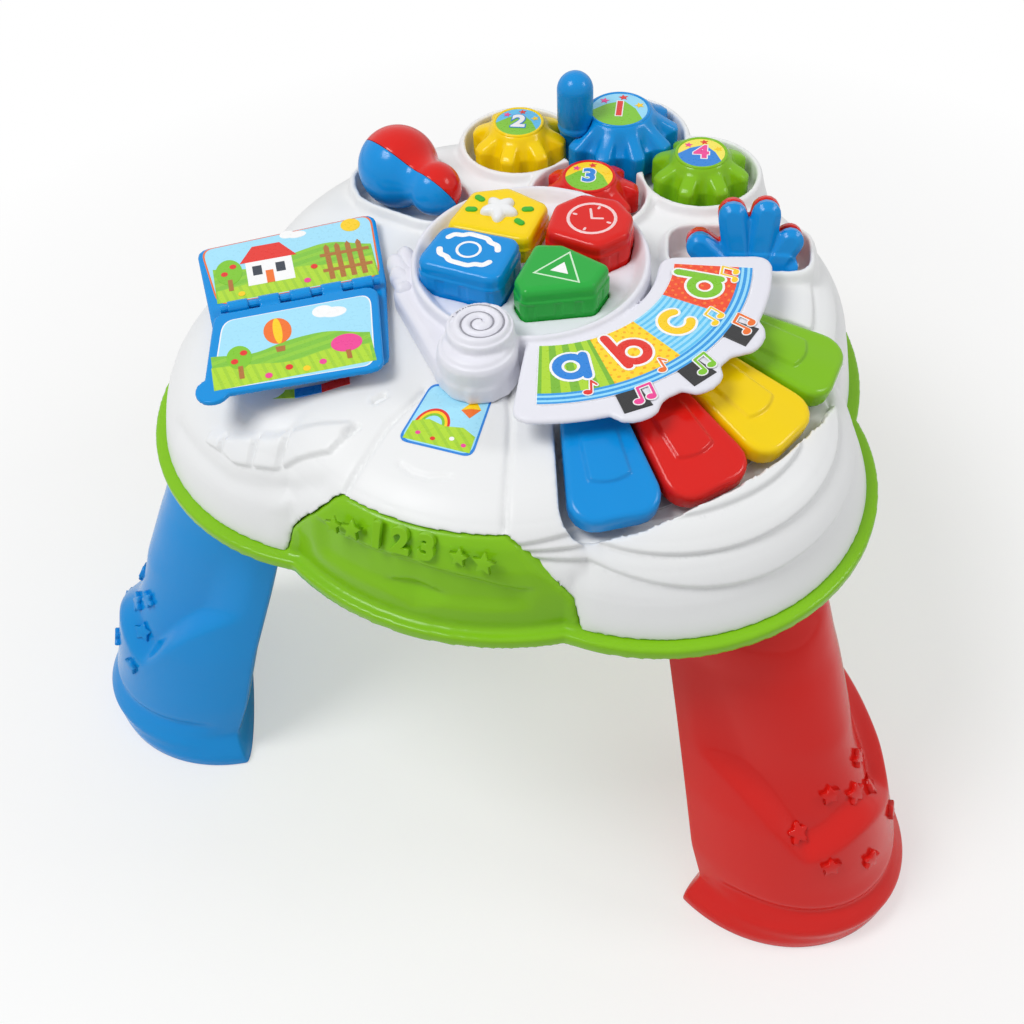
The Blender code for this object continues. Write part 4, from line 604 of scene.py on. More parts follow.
def leg_form(name):
    """The leg's sections, eased into each other, with the scoop sunk and the lip raised in the outer face."""
    shares = np.concatenate([np.linspace(0, 0.1, FOOT_ROWS)[:-1], np.linspace(0.1, 1, LEG_ROWS)])
    smooth = np.array([leg_ring(share) for share in shares])
    for _ in range(6):
        smooth[1:-1] = (smooth[:-2] + 2 * smooth[1:-1] + smooth[2:]) / 4
    x, y, z = smooth[..., 0], smooth[..., 1], smooth[..., 2]
    place, reach = (np.interp(shares, LEG_LEVELS[:, 0], LEG_LEVELS[:, k]) * FOOT[k - 1] for k in (1, 2))
    outer = smoothstep(0.12, 0.45, (x - place[:, None]) / reach[:, None])
    edge = SCOOP_FOOT + SCOOP_BOW * np.cos(y / SCOOP_HALF * pi) + SCOOP_SHOULDER * smoothstep(0.036, 0.060, np.abs(y))
    scoop = smoothstep(-0.002, 0.012, z - edge) * (1 - smoothstep(*SCOOP_FADE, z)) * smoothstep(0.066, 0.052, np.abs(y))
    ridge, groove = (hump(z - level, width) * rise for level, width, rise in (LIP_RIDGE, LIP_GROOVE))
    push = (ridge - groove - SCOOP_DEPTH * scoop) * outer
    facing = np.stack([np.cos(np.arctan2(y / 0.8, x - FOOT[0])), np.sin(np.arctan2(y / 0.8, x - FOOT[0])), 0 * x], 2)
    leg = smoothed(moulded(name, smooth + facing * push[..., None]), 4)
    carved(leg, moulded("socket", [leg_ring(1, SOCKET_INSET) - (0, 0, depth) for depth in (SOCKET_DEPTH, -0.004)]))
    carved(leg, moulded("hollow", [leg_ring(share, HOLLOW_INSET) for share in np.linspace(0.03, 0.87, 24)]))
    return leg


def flower(radius, petals=5):
    """A small flower: a wavy outline."""
    turns = np.linspace(0, 360, 40, endpoint=False)
    return [polar(radius * (0.78 + 0.22 * cos(radians(petals * a))), a) for a in turns]


def laid_on(item, leg, angle, height):
    """The item laid flat on a leg's outer face, at a turn about an upright line inside the leg and at a height."""
    outward = Vector((cos(radians(angle)), sin(radians(angle)), 0))
    _, place, normal, _ = leg.ray_cast(Vector((MOTIF_AXIS, 0, height)) + outward * 0.2, -outward)
    item.data.transform(Matrix.Translation(place) @ normal.to_track_quat("Z", "Y").to_matrix().to_4x4())
    return item


for side, angle, colour in (("left", -150, BLUE), ("right", -30, RED), ("back", 90, YELLOW)):
    items = [leg_form("leg_" + side + "_moulded")]
    for around, height, size, starred in LEG_MOTIFS:
        motif = slab(star(size, 0.55) if starred else flower(size), MOTIF_FOOT, MOTIF_TOP, MOTIF_EDGE)
        items.append(laid_on(motif, items[0], around, height))
    leg = joined("leg_" + side + "_moulded", *items)
    leg.data.transform(Matrix.Translation((0, AXIS_Y, 0)) @ Matrix.Rotation(radians(angle), 4, "Z"))
    dressed(leg, plastic("leg_" + side + "_gloss", colour, 0.16), "leg_" + side)

# Console: the lilac-white moulding in the middle, with the dish for the buttons, the scalloped letter frame, the round
# hub with its spiral groove, darkened by a grey stroke of painted shadow, and the arm that ends in a small hand with a
# cuff.

PEARL = (0.80, 0.80, 0.87)
CONSOLE_VOXEL, CONSOLE_ROUNDS = 0.0010, 6
DISH_CENTRE = (0.001, 0.0)
HUB, HUB_TOP, TONGUE, TONGUE_TOP = (-0.0025, -0.0720), 0.365, (-0.0025, -0.0780), 0.355
CIRCLES = ((DISH_CENTRE, 0.0675, 36, 0.005), (DISH_CENTRE, 0.0600, 36, 0.003), (HUB, 0.0170, 20, 0.0055),
           (TONGUE, 0.0210, 20, 0.005))
HAND = (((-0.0600, -0.0330), (-0.0770, -0.0200), 0.0062), ((-0.0610, -0.0300), (-0.0835, -0.0085), 0.0066),
        ((-0.0620, -0.0270), (-0.0795, 0.0010), 0.0064), ((-0.0590, -0.0330), (-0.0670, -0.0400), 0.0060),
        ((-0.0560, -0.0370), (-0.0700, -0.0180), 0.0105))
HAND_TOP, HAND_FOOT, HAND_TAPER = 0.3480, 0.3310, 0.94
SPIRAL_TURNS, SPIRAL_START, SPIRAL_REACH = 2.6, 0.0015, 0.0145
SPIRAL_DEPTH, SPIRAL_WIDTH = 0.0022, 0.0011
HUB_RING, TONGUE_RING = (0.0168, 0.0009, 0.0016), (0.0195, 0.0010, 0.0012)
ROUND_CAP = ((0.5, 0.05), (0.44, 0.47), (0.30, 0.80))


def rounded_out(points, centre, radius, steps, reach):
    """The flats of a packed circle pushed out to the true one, near its radius only."""
    x, y = points[:, 0] - centre[0], points[:, 1] - centre[1] - AXIS_Y
    off = (np.arctan2(y, x) % (2 * pi / steps)) - pi / steps
    near = smoothstep(reach, reach / 2, np.abs(np.hypot(x, y) - radius))
    grow = 1 + near * (np.cos(off) / cos(pi / steps) - 1)
    return points + np.stack([x * (grow - 1), y * (grow - 1), 0 * x], 1)


def finger(start, end, start_radius, end_radius, high, low):
    """A rounded finger: a stretched ball tapering from one point to another, flat below."""
    start, end = Vector(start), Vector(end)
    way = end - start
    side = Vector((-way.y, way.x)).normalized()
    turns = np.linspace(0, 2 * pi, 24, endpoint=False)
    rings = []
    for share in np.linspace(0, 1, 14):
        along = -cos(share * pi)
        radius = start_radius + (end_radius - start_radius) * share
        width = max(radius * (1 - abs(along) ** 5) ** 0.5, 0.0004)
        spot = start + way * share + way.normalized() * (along * 0.001)
        rings.append([(*(spot + side * (cos(a) * width)),
                       low + (high - low) * max(0.5 + 0.5 * (sin(a) * width) / start_radius, 0)) for a in turns])
    return moulded("finger", rings)


def stroke(paths, width, thick):
    """Lines of one width with round ends, as a pen draws them: bevelled curves, flattened."""
    data = bpy.data.curves.new("stroke", "CURVE")
    data.dimensions, data.use_fill_caps = "3D", True
    data.bevel_depth, data.bevel_resolution = width / 2, 3
    for path in paths:
        path = [Vector(point) for point in path]
        sizes = [1.0] * len(path)
        loop = (path[0] - path[-1]).length < 1e-7
        if loop:
            path = path[:-1]
        else:
            first, last = (path[0] - path[1]).normalized(), (path[-1] - path[-2]).normalized()
            path = [path[0] + first * (width * a) for a, _ in ROUND_CAP] + path + [
                path[-1] + last * (width * a) for a, _ in reversed(ROUND_CAP)]
            sizes = [r for _, r in ROUND_CAP] + sizes + [r for _, r in reversed(ROUND_CAP)]
        line = data.splines.new("POLY")
        line.points.add(len(path) - 1)
        line.use_cyclic_u = loop
        for point, spot, size in zip(line.points, path, sizes):
            point.co, point.radius = (spot.x, spot.y, 0, 1), size
    pick(in_scene("stroke", data))
    bpy.ops.object.convert(target="MESH")
    item = bpy.context.object
    item.data.transform(Matrix.Diagonal((1, 1, thick / width, 1)))
    return item


console = softened("console", CONSOLE_VOXEL, CONSOLE_ROUNDS)
shape = points_of(console)
for circle in CIRCLES:
    shape = rounded_out(shape, *circle)
away = shape[:, :2] - (0, AXIS_Y) - HUB
far, angle = np.hypot(away[:, 0], away[:, 1]), np.arctan2(away[:, 1], away[:, 0])
pitch = SPIRAL_REACH / SPIRAL_TURNS
winding = (far - SPIRAL_START - pitch * (angle / (2 * pi))) / pitch
groove = hump((winding - np.round(winding)) * pitch, SPIRAL_WIDTH) * (far < 0.0150) * (far > 0.0020)
shape[:, 2] -= SPIRAL_DEPTH * groove * (shape[:, 2] > HUB_TOP - 0.004)
radius, width, deep = HUB_RING
shape[:, 2] -= deep * (hump(far - radius, width) * (shape[:, 2] > HUB_TOP - 0.004))
far = np.hypot(*(shape[:, :2] - (0, AXIS_Y) - TONGUE).T)
radius, width, deep = TONGUE_RING
shape[:, 2] -= deep * hump(far - radius, width) * (np.abs(shape[:, 2] - TONGUE_TOP) < 0.003)
put_points(console, shape)
fingers = [placed(finger(root, tip, size, size * HAND_TAPER, HAND_TOP, HAND_FOOT), (0, 0, 0))
           for root, tip, size in HAND]
console = coloured(joined("console_moulded", console, *fingers), plastic("console_pearl", PEARL, 0.36, mottle=0.012))
# A grey stroke laid at the bottom of the spiral groove is painted shadow that darkens the groove.
spiral = [polar(SPIRAL_START + pitch * share, 360 * share) for share in np.linspace(0.25, SPIRAL_TURNS - 0.1, 90)]
spiral = placed(stroke([spiral], 0.0008, 0.0004), (*HUB, HUB_TOP - 0.0014))
coloured(spiral, plastic("spiral_shade", (0.30, 0.30, 0.34), 0.5))
dressed(joined("console_moulded", console, spiral), None, "console")

# Letter panel: a printed sheet let into the frame, four cells with striped or dotted grounds and a lower-case letter
# each, a blue wave band below them, and small notes. Three black tiles sit on the frame's scallops.

FAN_CENTRE = (0.0070, 0.0050)
PANEL_TOP = 0.350
CELLS_START, CELLS_END = -73, 12
CELLS_INNER, BAND_INNER, CELLS_OUTER = 0.0748, 0.1110, 0.1186
SHEET_LOW, SHEET_TOP, SHEET_EDGE, PRINT_LOW = 0.34912, 0.35065, 0.0002, 0.0002
INK_RISE, STEM_LIFT = 0.00012, 0.00005
LETTER_REACH, LETTER_SCALE, LETTER_PENS = 0.0925, 1.42, (0.0056, 0.0038)
TILE_ANGLES, TILE_REACH = (-49.7, -31.7, -13.7), 0.1262
TILE = ((-0.0078, -0.0070), (0.0062, -0.0080), (0.0062, 0.0080), (-0.0078, 0.0070))
OUTLINE_SWELL = 0.0004


def printed(name, low, high, share_of, roughness=0.25):
    """Glossy print in two inks: the share of the second is worked out by a function of the shader and its place."""
    made, tree, finish = new_paint(name)
    place = tree.node("TexCoord", output="Object")
    across, along = (tree.node("SeparateXYZ", values={0: place}, output=axis) for axis in "XY")
    grain = tree.node("TexNoise", values={"Vector": place, "Scale": 420.0, "Detail": 2.0})
    share = share_of(tree, across, along)
    paler = tree.mix(share, *(tuple(min(1, c * 1.06 + 0.012) for c in colour) for colour in (low, high)))
    tree.feed(finish["Base Color"], tree.mix(grain, tree.mix(share, low, high), paler))
    tree.feed(finish["Roughness"], roughness + grain * 0.06)
    made.diffuse_color = (*low, 1)
    return made


def ink(name, colour):
    return printed(name, colour, tuple(c * 0.94 for c in colour), lambda tree, x, y: tree.node(
        "TexNoise", values={"Vector": tree.node("TexCoord", output="Object"), "Scale": 60.0}))


def round_fan(x, y):
    """Angle in degrees and distance of a shaded point about the keys' centre."""
    x, y = x - FAN_CENTRE[0], y - (FAN_CENTRE[1] + AXIS_Y)
    return y.maths("ARCTAN2", x) * (180 / pi), (x * x + y * y).maths("SQRT")


def radial_stripes(tree, x, y):
    return (round_fan(x, y)[0] * 1.18).maths("SINE") > 0


def ring_stripes(tree, x, y):
    return (round_fan(x, y)[1] * 1900).maths("SINE") > 0.15


def dots(tree, x, y):
    angle, far = round_fan(x, y)
    return ((angle * 1.55).maths("SINE") * (far * 1100).maths("SINE")) > 0.62


def ring_sector(inner, outer, start, end, steps=18):
    points = [polar(outer, a) for a in np.linspace(start, end, steps)]
    return points + [polar(inner, a) for a in np.linspace(end, start, steps)]


def ring_path(radius, centre=(0, 0), start=0, end=360, steps=28):
    return [polar(radius, a, centre) for a in np.linspace(start, end, steps)]


def oval(x, y, wide, high, steps=28):
    turns = np.linspace(0, 2 * pi, steps, endpoint=False)
    return [(x + wide * cos(a), y + high * sin(a)) for a in turns]


def film(paint, outline, low, high, spot=(0, 0), turn=0):
    """A thin print of one ink between two heights, at a spot about the table axis."""
    return coloured(placed(slab(outline, low, high), (*spot, 0), turn), paint)


LETTERS = {
    "a": ([ring_path(0.0052)], [[(0.0054, 0.0052), (0.0054, -0.0056)]]),
    "b": ([ring_path(0.0052, (0.0006, -0.0012))], [[(-0.0050, 0.0106), (-0.0050, -0.0062)]]),
    "c": ([ring_path(0.0054, start=48, end=312)], []),
    "d": ([ring_path(0.0052, (-0.0006, -0.0012))], [[(0.0050, 0.0106), (0.0050, -0.0062)]]),
}
LIGHT_BLUE, SKY = (0.10, 0.52, 0.86), (0.30, 0.70, 0.92)
GRASS, DARK_GRASS = (0.40, 0.66, 0.02), (0.18, 0.46, 0.02)
SHEET_INKS = {
    "white": (0.92, 0.92, 0.92), "blue": (0.01, 0.22, 0.70), "red": (0.76, 0.02, 0.01), "yellow": (0.95, 0.62, 0.0),
    "green": (0.20, 0.55, 0.01), "pink": (0.85, 0.05, 0.30), "orange": (0.86, 0.16, 0.01),
    "black": (0.012, 0.012, 0.014),
}
white_ink, blue_ink, red_ink, yellow_ink, green_ink, pink_ink, orange_ink, black_ink = (
    ink("print_" + name, colour) for name, colour in SHEET_INKS.items())
NOTES = ((red_ink, -59.5, 0.1120), (orange_ink, -38, 0.1125), (yellow_ink, -14, 0.1090), (yellow_ink, 6, 0.1080))


def note(paint, spot, turn, size, z, pair=False, swell=0.0):
    """A music note of one or two heads with stems and a flag or beam, swollen for the pale outline under it."""
    lines, heads = [[(0.0012, -0.001), (0.0012, 0.0045)]], [(0, -0.001)]
    if pair:
        lines += [[(0.0012, 0.0045), (0.0054, 0.0054)], [(0.0054, 0.0054), (0.0054, 0.0)]]
        heads.append((0.0042, 0.0))
    else:
        lines.append([(0.0012, 0.0045), (0.0030, 0.0028)])
    parts = [stroke(lines, 0.0009 + 2 * swell, 0.0003)]
    parts += [slab(oval(*head, 0.0015 + swell, 0.0011 + swell, 14), -INK_RISE, INK_RISE) for head in heads]
    mark = coloured(joined("note", *parts), paint)
    mark.data.transform(Matrix.Scale(size, 4))
    return placed(mark, (*spot, z), turn)


whole = ring_sector(CELLS_INNER - SHEET_EDGE, CELLS_OUTER + SHEET_EDGE, CELLS_START - 0.2, CELLS_END + 0.2, 60)
sheet = [film(white_ink, whole, SHEET_LOW, SHEET_TOP - 0.0001, FAN_CENTRE)]
grounds = (
    printed("cell_green", GRASS, DARK_GRASS, radial_stripes),
    printed("cell_yellow", (0.95, 0.66, 0.01), (0.88, 0.40, 0.0), dots),
    printed("cell_sky", SKY, LIGHT_BLUE, ring_stripes),
    printed("cell_red", (0.84, 0.06, 0.01), (0.90, 0.20, 0.02), dots),
)
cell = (CELLS_END - CELLS_START) / 4
for index, (letter, ground, paint) in enumerate(zip("abcd", grounds, (blue_ink, red_ink, yellow_ink, green_ink))):
    start = CELLS_START + index * cell
    patch = ring_sector(CELLS_INNER, BAND_INNER, start, start + cell, 12)
    sheet.append(film(ground, patch, SHEET_TOP - PRINT_LOW, SHEET_TOP, FAN_CENTRE))
    up = start + cell / 2
    spot = polar(LETTER_REACH, up, FAN_CENTRE)
    for layer, (width, paint_of) in enumerate(zip(LETTER_PENS, (white_ink, paint)), 1):
        for lines, lift in zip(LETTERS[letter], (0, STEM_LIFT)):
            if lines:
                mark = coloured(stroke(lines, width, 0.0003), paint_of)
                mark.data.transform(Matrix.Scale(LETTER_SCALE, 4))
                sheet.append(placed(mark, (*spot, SHEET_TOP + layer * INK_RISE + lift), up + 90))
waves = printed("band_waves", (0.02, 0.30, 0.74), SKY, ring_stripes)
band = ring_sector(BAND_INNER, CELLS_OUTER, CELLS_START, CELLS_END, 60)
sheet.append(film(waves, band, SHEET_TOP - PRINT_LOW, SHEET_TOP, FAN_CENTRE))
for paint, angle, far in NOTES:
    for kind, swell, layer in ((white_ink, OUTLINE_SWELL, 3), (paint, 0, 4)):
        spot = polar(far, angle, FAN_CENTRE)
        sheet.append(note(kind, spot, angle + 78, 1.55, SHEET_TOP + layer * INK_RISE, angle > -30, swell))
dressed(joined("letter_panel_printed", *sheet), None, "letter_panel")

for paint, angle in zip((pink_ink, green_ink, orange_ink), TILE_ANGLES):
    spot = polar(TILE_REACH, angle, FAN_CENTRE)
    tile = placed(coloured(slab(TILE, PANEL_TOP - 0.0004, PANEL_TOP + 0.0007, 0.0004), black_ink), (*spot, 0), angle)
    middle = polar(-0.0022, angle - 80, polar(0.0005, angle, spot))
    marks = [note(kind, middle, angle + 84, 1.75, PANEL_TOP + lift, True, swell)
             for kind, swell, lift in ((white_ink, OUTLINE_SWELL, 0.0008), (paint, 0, 0.0010))]
    item = joined(f"key_tile_{round(-angle)}", tile, *marks)
    pick(item)
    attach(item, "table")

# Shape buttons: four domed caps of glossy plastic in the dish, each with fluted sides and its own print or relief on
# top: a ring in brackets, a triangle in a triangle, a puffy flower with leaves, and a clock face.

BUTTON_VOXEL, BUTTON_ROUNDS = 0.0007, 7
BUTTON_TOPS = {"square": 0.366, "triangle": 0.366, "flower": 0.3615, "clock": 0.366}
BUTTON_COLOURS = {"square": BLUE, "triangle": (0.02, 0.40, 0.05), "flower": YELLOW, "clock": RED}
BUTTON_TURN, PRINT_LIFT = -6, 0.00002
STEP_DEPTH, FLUTE_DEPTH, FLUTES = 0.0007, 0.0006, 9
WALL_START, STEP_BELOW, FLUTES_BELOW = (0.346, 0.349), (0.0075, 0.0085), (0.0090, 0.0105)
BRACE = ((-0.0155, 0.0055), (-0.0135, 0.0095), (-0.0085, 0.0100), (-0.0060, 0.0128), (0.0060, 0.0128), (0.0085, 0.0100),
         (0.0135, 0.0095), (0.0155, 0.0055))
MARK_THICK = 0.0004
FLOWER_REACH, LEAF_REACH, LEAF_SIZE = 0.0115, 0.0165, 0.0036
FLOWER_PROFILE = ((1, -0.0010), (1, 0.0004), (0.97, 0.0018), (0.88, 0.0031), (0.70, 0.0041), (0.45, 0.0047),
                  (0.2, 0.0049))


def middle_of(node):
    """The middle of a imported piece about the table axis, and its lowest and highest points."""
    low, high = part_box(node)
    return ((low.x + high.x) / 2, (low.y + high.y) / 2 - AXIS_Y), low.z, high.z


def button_form(node, middle, top):
    """The softened cap with flutes pressed into its side walls under a small step."""
    cap = softened(node, BUTTON_VOXEL, BUTTON_ROUNDS)
    points, facing = points_of(cap), points_of(cap, "vector")
    turns = np.arctan2(points[:, 1] - (middle[1] + AXIS_Y), points[:, 0] - middle[0])
    wall = smoothstep(0.5, 0.9, np.hypot(facing[:, 0], facing[:, 1])) * smoothstep(*WALL_START, points[:, 2])
    below = top - points[:, 2]
    flutes = smoothstep(0.2, 0.7, np.cos(FLUTES * turns)) * smoothstep(*FLUTES_BELOW, below)
    pressed = FLUTE_DEPTH * flutes - STEP_DEPTH * smoothstep(*STEP_BELOW, below)
    put_points(cap, points - facing * (pressed * wall)[:, None])
    return cap


def eased_path(corners, steps=40):
    """A line through a few corners, its bends rounded."""
    far = np.concatenate([[0], np.cumsum(np.hypot(*np.diff(np.array(corners), axis=0).T))])
    line = np.stack([np.interp(np.linspace(0, far[-1], steps), far, axis) for axis in zip(*corners)], 1)
    for _ in range(3):
        line[1:-1] = (line[:-2] + 2 * line[1:-1] + line[2:]) / 4
    return [tuple(point) for point in line]


def shifted(outline, spot, turn):
    c, s = cos(radians(turn)), sin(radians(turn))
    return [(spot[0] + x * c - y * s, spot[1] + x * s + y * c) for x, y in outline]


def square_marks():
    braces = [[(x, y * way) for x, y in eased_path(BRACE)] for way in (1, -1)]
    lines = ((braces, 0.0036), ([ring_path(0.0066)], 0.0016))
    return [coloured(stroke(paths, width, MARK_THICK), white_ink) for paths, width in lines]


def triangle_marks():
    outer, inner = [polar(0.0150, a) for a in (95, 215, 335, 95)], [polar(0.0060, a) for a in (95, 215, 335)]
    return [coloured(stroke([outer], 0.0020, MARK_THICK), ink("print_mint", (0.62, 0.86, 0.62))),
            coloured(slab(inner, -MARK_THICK / 2, MARK_THICK / 2), white_ink)]


def flower_marks():
    puff = [[(*polar(FLOWER_REACH * share * (0.82 + 0.18 * cos(radians(5 * a))), a), rise) for a in range(0, 360, 5)]
            for share, rise in FLOWER_PROFILE]
    leaf_green = plastic("leaf_green", (0.05, 0.45, 0.03), 0.25)
    return [coloured(moulded("puff", puff), plastic("flower_white", (0.86, 0.87, 0.88), 0.25))] + [
        coloured(slab(shifted(flower(LEAF_SIZE, 2), polar(LEAF_REACH, a), a), -0.001, 0.0014, 0.0008), leaf_green)
        for a in (25, 160, 200, 340)]


def clock_marks():
    rosy = ink("print_rose", (0.90, 0.62, 0.62))
    ticks = [[polar(0.0098, a), polar(0.0112, a)] for a in (0, 90, 180, 270)]
    hands = [[(0, 0), polar(0.0085, 118)], [(0, 0), polar(0.0062, 20)]]
    return [coloured(stroke([ring_path(0.0136)], 0.0019, 0.0006), rosy),
            coloured(stroke(ticks + hands, 0.0015, 0.0005), rosy)]


BUTTON_PRINTS = {"square": (square_marks, 0, 0.001, PRINT_LIFT),
                 "triangle": (triangle_marks, -0.001, 0.001, PRINT_LIFT),
                 "flower": (flower_marks, 0, -0.001, PRINT_LIFT - 0.0003),
                 "clock": (clock_marks, 0.0005, 0, PRINT_LIFT)}
for shape_name, colour in BUTTON_COLOURS.items():
    node, top = "button_" + shape_name, BUTTON_TOPS[shape_name]
    middle, _, _ = middle_of(node)
    cap = coloured(button_form(node, middle, top), plastic(node + "_gloss", colour, 0.17, pores=0.03))
    marks, off_x, off_y, lift = BUTTON_PRINTS[shape_name]
    marks = [placed(mark, (middle[0] + off_x, middle[1] + off_y, top + lift), BUTTON_TURN) for mark in marks()]
    dressed(joined(node + "_moulded", cap, *marks), None, node)

# Keys: four glossy plastic levers with soft rounded ends, hinged under the letter frame over a grey rubber strip. A
# raised flap on each steps down in a curve at two thirds.

KEY_VOXEL, KEY_ROUNDS = 0.0009, 6
KEY_HINGE_RADIUS = 0.1180
KEYS = {"blue": (-58.7, BLUE), "red": (-40.7, RED), "yellow": (-22.7, YELLOW), "green": (-4.7, LIME)}
FLAP_RISE, FLAP_START, FLAP_HALF, FLAP_FLARE = 0.0017, 0.012, 0.0105, 0.04
FLAP_FRONT, FLAP_BOW, BOW_HALF = 0.0385, 0.0035, 0.012
CROWN_RISE, CROWN_HALF = 0.0006, 0.0150

for colour_name, (angle, colour) in KEYS.items():
    node = "key_" + colour_name
    key = softened(node, KEY_VOXEL, KEY_ROUNDS)
    points, facing = points_of(key), points_of(key, "vector")
    hinge = polar(KEY_HINGE_RADIUS, angle, FAN_CENTRE)
    plan = points[:, :2] - (hinge[0], hinge[1] + AXIS_Y)
    c, s = cos(radians(angle)), sin(radians(angle))
    along, across = plan @ (c, s), plan @ (-s, c)
    half = FLAP_HALF + FLAP_FLARE * np.maximum(along - FLAP_START, 0)
    front = FLAP_FRONT - FLAP_BOW * (across / BOW_HALF) ** 2
    flap = smoothstep(half + 0.0006, half - 0.0014, np.abs(across)) * smoothstep(front + 0.0006, front - 0.0010, along)
    crown = smoothstep(CROWN_HALF, 0.0, np.abs(across))
    rise = FLAP_RISE * flap * smoothstep(0.004, 0.014, along) + CROWN_RISE * crown
    put_points(key, points + facing * (rise * smoothstep(0.3, 0.8, facing[:, 2]))[:, None])
    dressed(key, plastic(node + "_gloss", colour, 0.18, pores=0.03), node)

# Gears: glossy plastic petal wheels on axles of the cover, each with a raised middle that carries a rimmed disc with a
# printed number. The blue one has an upright turning knob on a petal.

GEAR_VOXEL, GEAR_ROUNDS = 0.0010, 6
# Middle, height of the disc, plastic, petals, radius of the disc, its ground and figure inks, and its number.
GEARS = {
    "blue": ((0.0080, 0.1545), 0.3545, BLUE, 10, 0.0190, SKY, red_ink, "1"),
    "yellow": ((-0.05221, 0.13054), 0.3495, YELLOW, 8, 0.0155, LIGHT_BLUE, white_ink, "2"),
    "green": ((0.06821, 0.13054), 0.3495, LIME, 8, 0.0155, (0.93, 0.80, 0.10), pink_ink, "4"),
    "red": ((0.0080, 0.0897), 0.348, RED, 8, 0.0155, YELLOW, blue_ink, "3"),
}
RIM_PROFILE = ((-0.0016, -0.003), (0.0012, -0.003), (0.0012, -0.0002), (0.0006, 0.0005), (-0.0004, 0.0005),
               (-0.0010, 0.0001), (-0.0011, -0.0028))
PETAL_DROP, VALLEY_DROP, VALLEY_PRESS = 0.0022, 0.0060, 0.0020
FIGURE_SHARE, FIGURE_TURN, FIGURE_THICK = 1.15, 12, 0.0002
SHADE_PEN, FIGURE_PEN = (0.0014, 0.00022), (0.0007, 0.00035)
DISC_STARS, STAR_SHARE, STAR_REACH = ((35, yellow_ink), (150, pink_ink), (95, red_ink)), 0.17, 0.72
KNOB_RADIUS = 0.0115
KNOB_PROFILE = ((0.0004, 0), (0.0102, 0), (0.0108, 0.0006), (0.0112, 0.0030), (0.0108, 0.0044), (0.0106, 0.0052),
                (0.0114, 0.0066), (KNOB_RADIUS, 0.0200))


def spun(name, profile, spot, steps=72):
    """A turned piece: a profile of (radius, height) carried round its axis."""
    return moulded(name, [[(spot[0] + r * cos(a), spot[1] + AXIS_Y + r * sin(a), z)
                           for a in np.linspace(0, 2 * pi, steps, endpoint=False)] for r, z in profile])


def petalled(wheel, centre, top, petals, disc):
    """The flat wheel's petals made to slope down from the disc, with the valleys between them sunk and pressed in."""
    points = points_of(wheel)
    x, y = points[:, 0] - centre[0], points[:, 1] - centre[1] - AXIS_Y
    far, angle = np.hypot(x, y), np.arctan2(y, x)
    rim = far > 0.85 * far.max()
    phase = np.angle(np.sum((far[rim] - far[rim].mean()) * np.exp(1j * petals * angle[rim])))
    valley = smoothstep(0.25, -0.85, np.cos(petals * angle - phase))
    out = smoothstep(disc + 0.0020, far.max() * 0.96, far)
    high = smoothstep(top - 0.0200, top - 0.0030, points[:, 2])
    points[:, 2] -= out * high * (PETAL_DROP + VALLEY_DROP * valley)
    press = VALLEY_PRESS * valley * smoothstep(disc + 0.0020, far.max() * 0.85, far) / np.maximum(far, 0.001)
    points[:, 0] -= x * press
    points[:, 1] -= y * press
    put_points(wheel, points)
    return smoothed(wheel, 4)


for colour_name, (centre, top, colour, petals, radius, ground, figure_ink, number) in GEARS.items():
    node = "gear_" + colour_name
    paint = plastic(node + "_gloss", colour, 0.19, pores=0.03)
    wheel = petalled(softened(node, GEAR_VOXEL, GEAR_ROUNDS), centre, top, petals, radius)
    rim = spun("rim", [(radius + out, top + rise) for out, rise in RIM_PROFILE], centre)
    plate = ring_path(radius - 0.0008, steps=61)[:-1]
    disc = film(ink("disc_" + colour_name, ground), plate, top - 0.001, top + 0.00005, centre)
    hill = [polar(radius - 0.0009, a) for a in np.linspace(200, 340, 24)]
    hill += [polar(radius * 0.55, a) for a in (20, 90, 160)]
    prints = [film(green_ink if colour_name != "green" else blue_ink, hill, top, top + 0.0001, centre)]
    shade_ink = white_ink if figure_ink is not white_ink else blue_ink
    for shown_ink, (weight, lift) in ((shade_ink, SHADE_PEN), (figure_ink, FIGURE_PEN)):
        figure = lettering(number, radius * FIGURE_SHARE, weight, FIGURE_THICK)
        prints.append(coloured(placed(figure, (*centre, top + lift), FIGURE_TURN), shown_ink))
    for a, dot in DISC_STARS:
        spot = polar(radius * STAR_REACH, a, centre)
        prints.append(film(dot, star(radius * STAR_SHARE), top, top + 0.0003, spot, a))
    dressed(joined(node + "_moulded", coloured(wheel, paint), coloured(rim, paint), disc, *prints), None, node)
    if colour_name == "blue":
        spot, low, high = middle_of("gear_knob")
        profile = [(r, low + rise) for r, rise in KNOB_PROFILE]
        profile += [(KNOB_RADIUS * cos(a), high - KNOB_RADIUS + KNOB_RADIUS * sin(a)) for a in np.linspace(0, 1.54, 14)]
        dressed(spun("gear_knob_turned", profile, spot), paint, "gear_knob")

# Maraca: a glossy plastic rattle of two hollow bulbs, moulded in a blue front half and a red back half that meet at a
# welded seam. It lies in a bowl of the cover.

MARACA_BIG, MARACA_TURN = (-0.11098, 0.06997, 0.3448), -25.9
MARACA_BULBS = ((0.0255, 0.0, 0.02 * pi, 0.70 * pi), (0.0165, 0.0339, 0.40 * pi, 0.98 * pi))
WAIST_DIP = 0.0018
SEAM_GAP, SEAM_LEAN, SEAM_EDGE = 0.00018, 29.5, 0.0005
HALVES = (("front", BLUE, -1), ("back", RED, 1))


